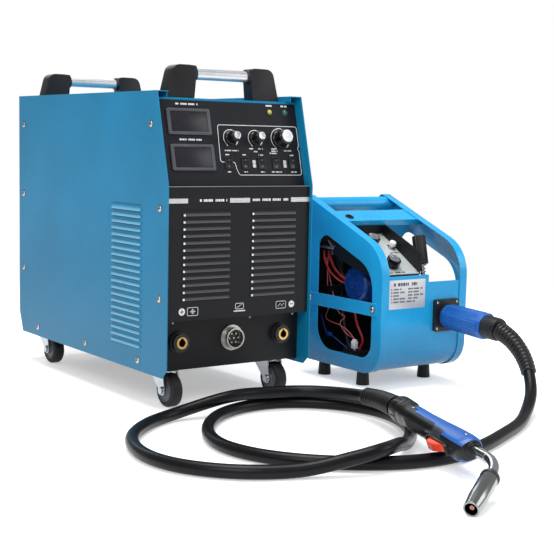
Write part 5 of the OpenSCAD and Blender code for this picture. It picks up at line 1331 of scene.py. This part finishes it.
class WELDER_OT_wiring(bpy.types.Operator):
    """Runs the feeder's inner leads and builds their terminal block"""
    bl_idname = "welder.wiring"
    bl_label = "Inner wiring"

    def execute(self, context):
        for name, (radius, paint, route) in THICK_LEADS.items():
            rod = strand(smooth_route(route, 8), radius, sides=4)
            finish(moved(rod, FEEDER), name, paint,
                   replaces=["feeder_wiring"] if name == "gas_tube" else (), smooth=60)
        for name, (radius, paint, routes) in THIN_WIRES.items():
            rods = [strand(smooth_route(route, 6), radius, sides=2) for route in routes]
            finish(moved(joined(rods), FEEDER), name, paint, smooth=60)
        plug = joined([block((9, 12, 15), (-66, 128, 70), 1.0), block((6, 9, 4), (-66, 128, 79), 0.8),
                       block((3.6, 5, 10), (-66, 128, 60), 0.5)])
        finish(moved(plug, FEEDER), "wire_plug", "white_abs")
        splice = block((7, 15, 6.5), (-75, 200, 82.6), 1.0)
        finish(moved(splice, FEEDER), "wire_splice", "motor_coat")
        shelf = joined([block((52, 62, 1.5), (-66, 205, 257), 0.3), block((52, 1.5, 12), (-66, 174.8, 251.8), 0.3)])
        finish(moved(shelf, FEEDER), "wire_shelf", "zinc")
        edge = lathe([(4.3, -4.2), (8.2, -4.2), (8.8, -3.6), (8.8, -2.6), (6.3, -2.3), (6.3, 0.2), (8.8, 0.4),
                      (8.8, 1.4), (8.2, 2.0), (5.2, 2.3), (4.3, 1.5), (4.3, -4.2)], 32)
        bar = FEEDER @ shift(0, 131, 315.14) @ turned(21.8, "X")
        finish(moved(edge, bar @ shift(-72, 18, 0)), "bar_grommet", "foot_rubber",
               smooth=30)
        base = block((34, 48, 19), (-61, 124, 44.5), 1.0)
        walls = [block((34, 1.6, 7), (-61, 100.8 + SCREW_PITCH * i, 57.4), 0.3) for i in range(6)]
        finish(moved(joined([base] + walls), FEEDER), "terminal_block", "black_abs")
        heads = [moved(screw_head(5.4, 1.5), shift(-61 + dx, 105.4 + SCREW_PITCH * i, 54)
                       @ turned(degrees(0.7 * i), "Z")) for i in range(5) for dx in (-9, 9)]
        finish(moved(joined(heads), FEEDER), "terminal_screws", "brass", smooth=30)
        return {"FINISHED"}


# ---------------------------------------------------------------- torch detail

# The grip's section at a few places along the torch: the place, half width, top and bottom
GRIP = [(0, 20, 20, -20), (8, 21, 21, -21), (40, 20, 20, -21), (48, 17.5, 17.5, -20.5), (100, 16.5, 16.5, -20),
        (150, 16.5, 17, -20.5), (190, 17.5, 18, -24), (228, 18, 18, -26), (244, 17, 17, -25), (250, 14, 14, -21)]


def grip_size(x):
    """Half width, top and bottom of the grip at a place along it."""
    for a, b in zip(GRIP, GRIP[1:]):
        if x <= b[0]:
            return [p + (q - p) * (x - a[0]) / (b[0] - a[0]) for p, q in zip(a[1:], b[1:])]
    return GRIP[-1][1:]


# Stations along the grip: closer where its collar steps and at its ends
STATIONS = [0, 1.2, 3, 8, 18, 25, 26, 29, 30, 40, 46.5, 48] + [54 + 8 * k for k in range(12)] + [
    150, 156, 166, 178, 190, 196, 204, 212, 220, 228, 236, 244, 248, 250]


def rise(at):
    """Degrees above the grip's flank, along its oval section."""
    w, top, low = grip_size(at.x)
    return degrees(atan2((at.z - (top + low) / 2) * 2 / (top - low), abs(at.y) / w))


def in_blue(at, normal):
    """Whether a face of the grip is under the blue shells, which end in a sweep on each flank."""
    if 62 < at.x < 190:
        return rise(at) > (11 if at.x < 78 else -11 if at.x < 150 else -19)
    return at.x > 190 and normal.x < 0.9 and rise(at) > (-39 if at.y < 0 else -64)


class WELDER_OT_torch(bpy.types.Operator):
    """Moulds the torch's grip with its blue shells and its trigger guard, and turns the nozzle and its tip"""
    bl_idname = "welder.torch"
    bl_label = "Torch"

    def execute(self, context):
        def place(k, flat):
            x = STATIONS[k]
            w, top, low = grip_size(x)
            # The collar's groove and the butt are let in a little more than the rest
            grow = -1.3 if x in (26, 29) else -1.6 if x == 0 else -0.5
            c, s = (abs(q) ** 0.8 * (1 if q > 0 else -1) for q in flat)
            return Vector((x, c * (w + grow), (top + low) / 2 + s * ((top - low) / 2 + grow))) * MM

        grip = loft(len(STATIONS), 48, place)
        blue = skin_of(grip, in_blue, 0.5, "torch_shells")
        cheeks = skin_of(grip, lambda at, n: 156 < at.x < 190 and -58 < rise(at) < -19, 0.42, "cheeks")
        cut_out(grip, block((54, 14.4, 40), (186, 0, -32), 0))
        ribs = [block((1.3, 20, 1.2), (66 + 5 * k, 0, grip_size(66 + 5 * k)[2] + 0.1), 0.35) for k in range(14)]
        guard = [block((3.4, 15.5, 13), (156.6, 0, -23), 1.2, 3), block((4.4, 15.5, 7), (215, 0, -24.8), 1.2, 3),
                 block((56, 1.4, 6), (186, 7.7, -22.6), 0.6), block((56, 1.4, 6), (186, -7.7, -22.6), 0.6)]
        seam = lathe([(7.7, 0), (12.4, 0), (12.6, 0.8), (11.6, 2.2), (9.6, 3.0), (9.3, 5.2), (7.7, 5.6)], 36)
        seam = moved(seam, shift(249.6, 0, 0) @ turned(90, "Y"))
        nut = [moved(block((14, 2.0, 1.8), (14, 0, 20.6), 0.5), turned(22.5 * k, "X")) for k in range(16)]
        finish(moved(joined([grip] + ribs + guard + nut), TORCH), "torch_grip", "grip_rubber",
               replaces=["torch_handle"], smooth=40)
        finish(moved(cheeks, TORCH), "torch_cheeks", "cheek_abs", smooth=30)
        finish(moved(blue, TORCH), "torch_shells", "torch_blue", smooth=40)
        finish(moved(seam, TORCH), "neck_collar", "grip_rubber", smooth=25)
        heads = [moved(screw_head(5.0, 1.1), TORCH @ shift(x, y, z) @ FACING_FRONT)
                 for x, y, z in ((232, -17.75, 3), (62, -16.95, 0))]
        finish(joined(heads), "torch_screws", "screw_nickel", smooth=30)

        along = NECK_END @ turned(90, "Y")
        tube = lathe([(7.55, 1.4), (8.4, 1.0), (11.9, 4.6), (12.3, 6.0), (12.3, 7.2), (11.7, 7.5), (11.7, 8.7),
                      (12.3, 9.0), (12.8, 10.2), (12.8, 62), (12.5, 66), (11.2, 84), (11.0, 88.2), (10.6, 88.8),
                      (8.8, 88.9), (8.4, 88.2), (8.5, 70), (10, 61), (10, 11.4), (7.55, 11.4)], 56)
        finish(moved(tube, along), "nozzle_shell", "nozzle_plate", replaces=["gas_nozzle"],
               smooth=30)
        ring = lathe([(11.6, 5.2), (13.2, 5.4), (13.6, 6.2), (13.6, 9.8), (13.2, 10.6), (12.4, 10.8)], 56)
        finish(moved(ring, along), "nozzle_insulator", "cheek_abs", smooth=30)
        tip = lathe([(4.05, 62), (4.05, 66), (3.7, 70), (3.15, 84.2), (2.7, 85.1), (0.9, 85.15), (0.85, 62)], 28)
        finish(moved(tip, along), "contact_tip", "copper", smooth=30)
        return {"FINISHED"}


class WELDER_OT_trigger(bpy.types.Operator):
    """Rounds the trigger's blade"""
    bl_idname = "welder.trigger"
    bl_label = "Trigger"

    def execute(self, context):
        outline = [(-46, 5), (-4, -3.2), (3, -3), (4, 2), (0, 8), (-8, 12), (-20, 18.5), (-34, 20), (-43, 16)]
        body = moved(slab([(x, -y) for x, y in outline][::-1], 12.4, -6.2, 1.3, 3),
                     shift(208, 0, -16) @ FACING_FRONT)
        finish(moved(body, TORCH), "trigger_blade", "trigger_orange", "torch_trigger",
               ["torch_trigger"], smooth=35)
        return {"FINISHED"}


# ---------------------------------------------------------------- rear of the cabinet

class WELDER_OT_rear_detail(bpy.types.Operator):
    """Fits the bare plates at the back, the gland's ribs, the heater outlet's contacts and the stud's washers"""
    bl_idname = "welder.rear_detail"
    bl_label = "Rear detail"

    def execute(self, context):
        plates = [slab(rounded_rect(112, 64, 2, 0, 478), 0.5, 0, 0.15),
                  slab(rounded_rect(30, 12, 1, -20, 205), 0.4, 0, 0.1),
                  slab(rounded_rect(34, 10, 1, -96, 160), 0.4, 0, 0.1)]
        finish(moved(joined(plates), REAR), "rear_plates", "plate_foil")
        rows = [(-46, 20, 500, 4)] + [(-48, end, 490 - 8 * k, 2.4) for k, end in enumerate((10, 36, 22, 44, 30))]
        finish(moved(joined(print_rows(rows, 0.12)), REAR @ shift(0, 0, 0.45)), "rear_plate_filler", "grey_ink")
        ribs = [moved(block((2.2, 1.6, 9), (15.3, 0, 12.4), 0.5), REAR @ shift(-96, 126, 0)
                      @ turned(30 * k, "Z")) for k in range(12)]
        insert = lathe([(0, -1.5), (10.2, -1.5), (10.2, -6), (0, -6)], 40)
        pins = [block((1.6, 7.0, 5), (dx, 0, -0.5), 0.3) for dx in (-4.5, 4.5)]
        outlet = REAR @ shift(-30, 170, 0)
        finish(joined(ribs + [moved(insert, outlet)]), "gland_ribs", "black_abs", smooth=30)
        brass = [moved(p, outlet) for p in pins]
        stud = REAR @ shift(-96, 90, 0)
        brass.append(moved(lathe([(4.05, 2.0), (9.2, 2.0), (9.2, 3.1), (4.05, 3.1)], 36), stud))
        thread = [(3.4, 8.2)] + [p for k in range(16) for p in ((4.06, 8.5 + 0.7 * k), (3.7, 8.85 + 0.7 * k))]
        brass.append(moved(lathe(thread + [(3.2, 19.9), (0, 20.3)], 28), stud))
        finish(joined(brass), "rear_brass_parts", "brass", smooth=30)
        return {"FINISHED"}


OPERATORS = [
    WELDER_OT_stage, WELDER_OT_finishes, WELDER_OT_lead, WELDER_OT_screws, WELDER_OT_panel_print,
    WELDER_OT_front_print, WELDER_OT_panel_parts, WELDER_OT_handles, WELDER_OT_casters,
    WELDER_OT_feeder_frames, WELDER_OT_rating_plate, WELDER_OT_connector, WELDER_OT_tension_gear,
    WELDER_OT_remote_print, WELDER_OT_drive_detail, WELDER_OT_wiring, WELDER_OT_torch,
    WELDER_OT_trigger, WELDER_OT_rear_detail]


class WELDER_PT_panel(bpy.types.Panel):
    """Lists the pieces in the order that they are made"""
    bl_label = "MIG welding set"
    bl_idname = "WELDER_PT_panel"
    bl_space_type = "VIEW_3D"
    bl_region_type = "UI"
    bl_category = "Welder"

    def draw(self, context):
        for group in (context.scene.welder_sizes, context.scene.welder_colours):
            for name in group.__annotations__:
                self.layout.prop(group, name)
        for operator in OPERATORS:
            self.layout.operator(operator.bl_idname)


CLASSES = [WelderSizes, WelderColours] + OPERATORS + [WELDER_PT_panel]


def register():
    for item in CLASSES:
        bpy.utils.register_class(item)
    bpy.types.Scene.welder_sizes = bpy.props.PointerProperty(type=WelderSizes)
    bpy.types.Scene.welder_colours = bpy.props.PointerProperty(type=WelderColours)


def unregister():
    del bpy.types.Scene.welder_colours
    del bpy.types.Scene.welder_sizes
    for item in reversed(CLASSES):
        bpy.utils.unregister_class(item)


def main():
    register()
    for operator in OPERATORS:
        group, name = operator.bl_idname.split(".")
        getattr(getattr(bpy.ops, group), name)()


if __name__ == "__main__":
    main()
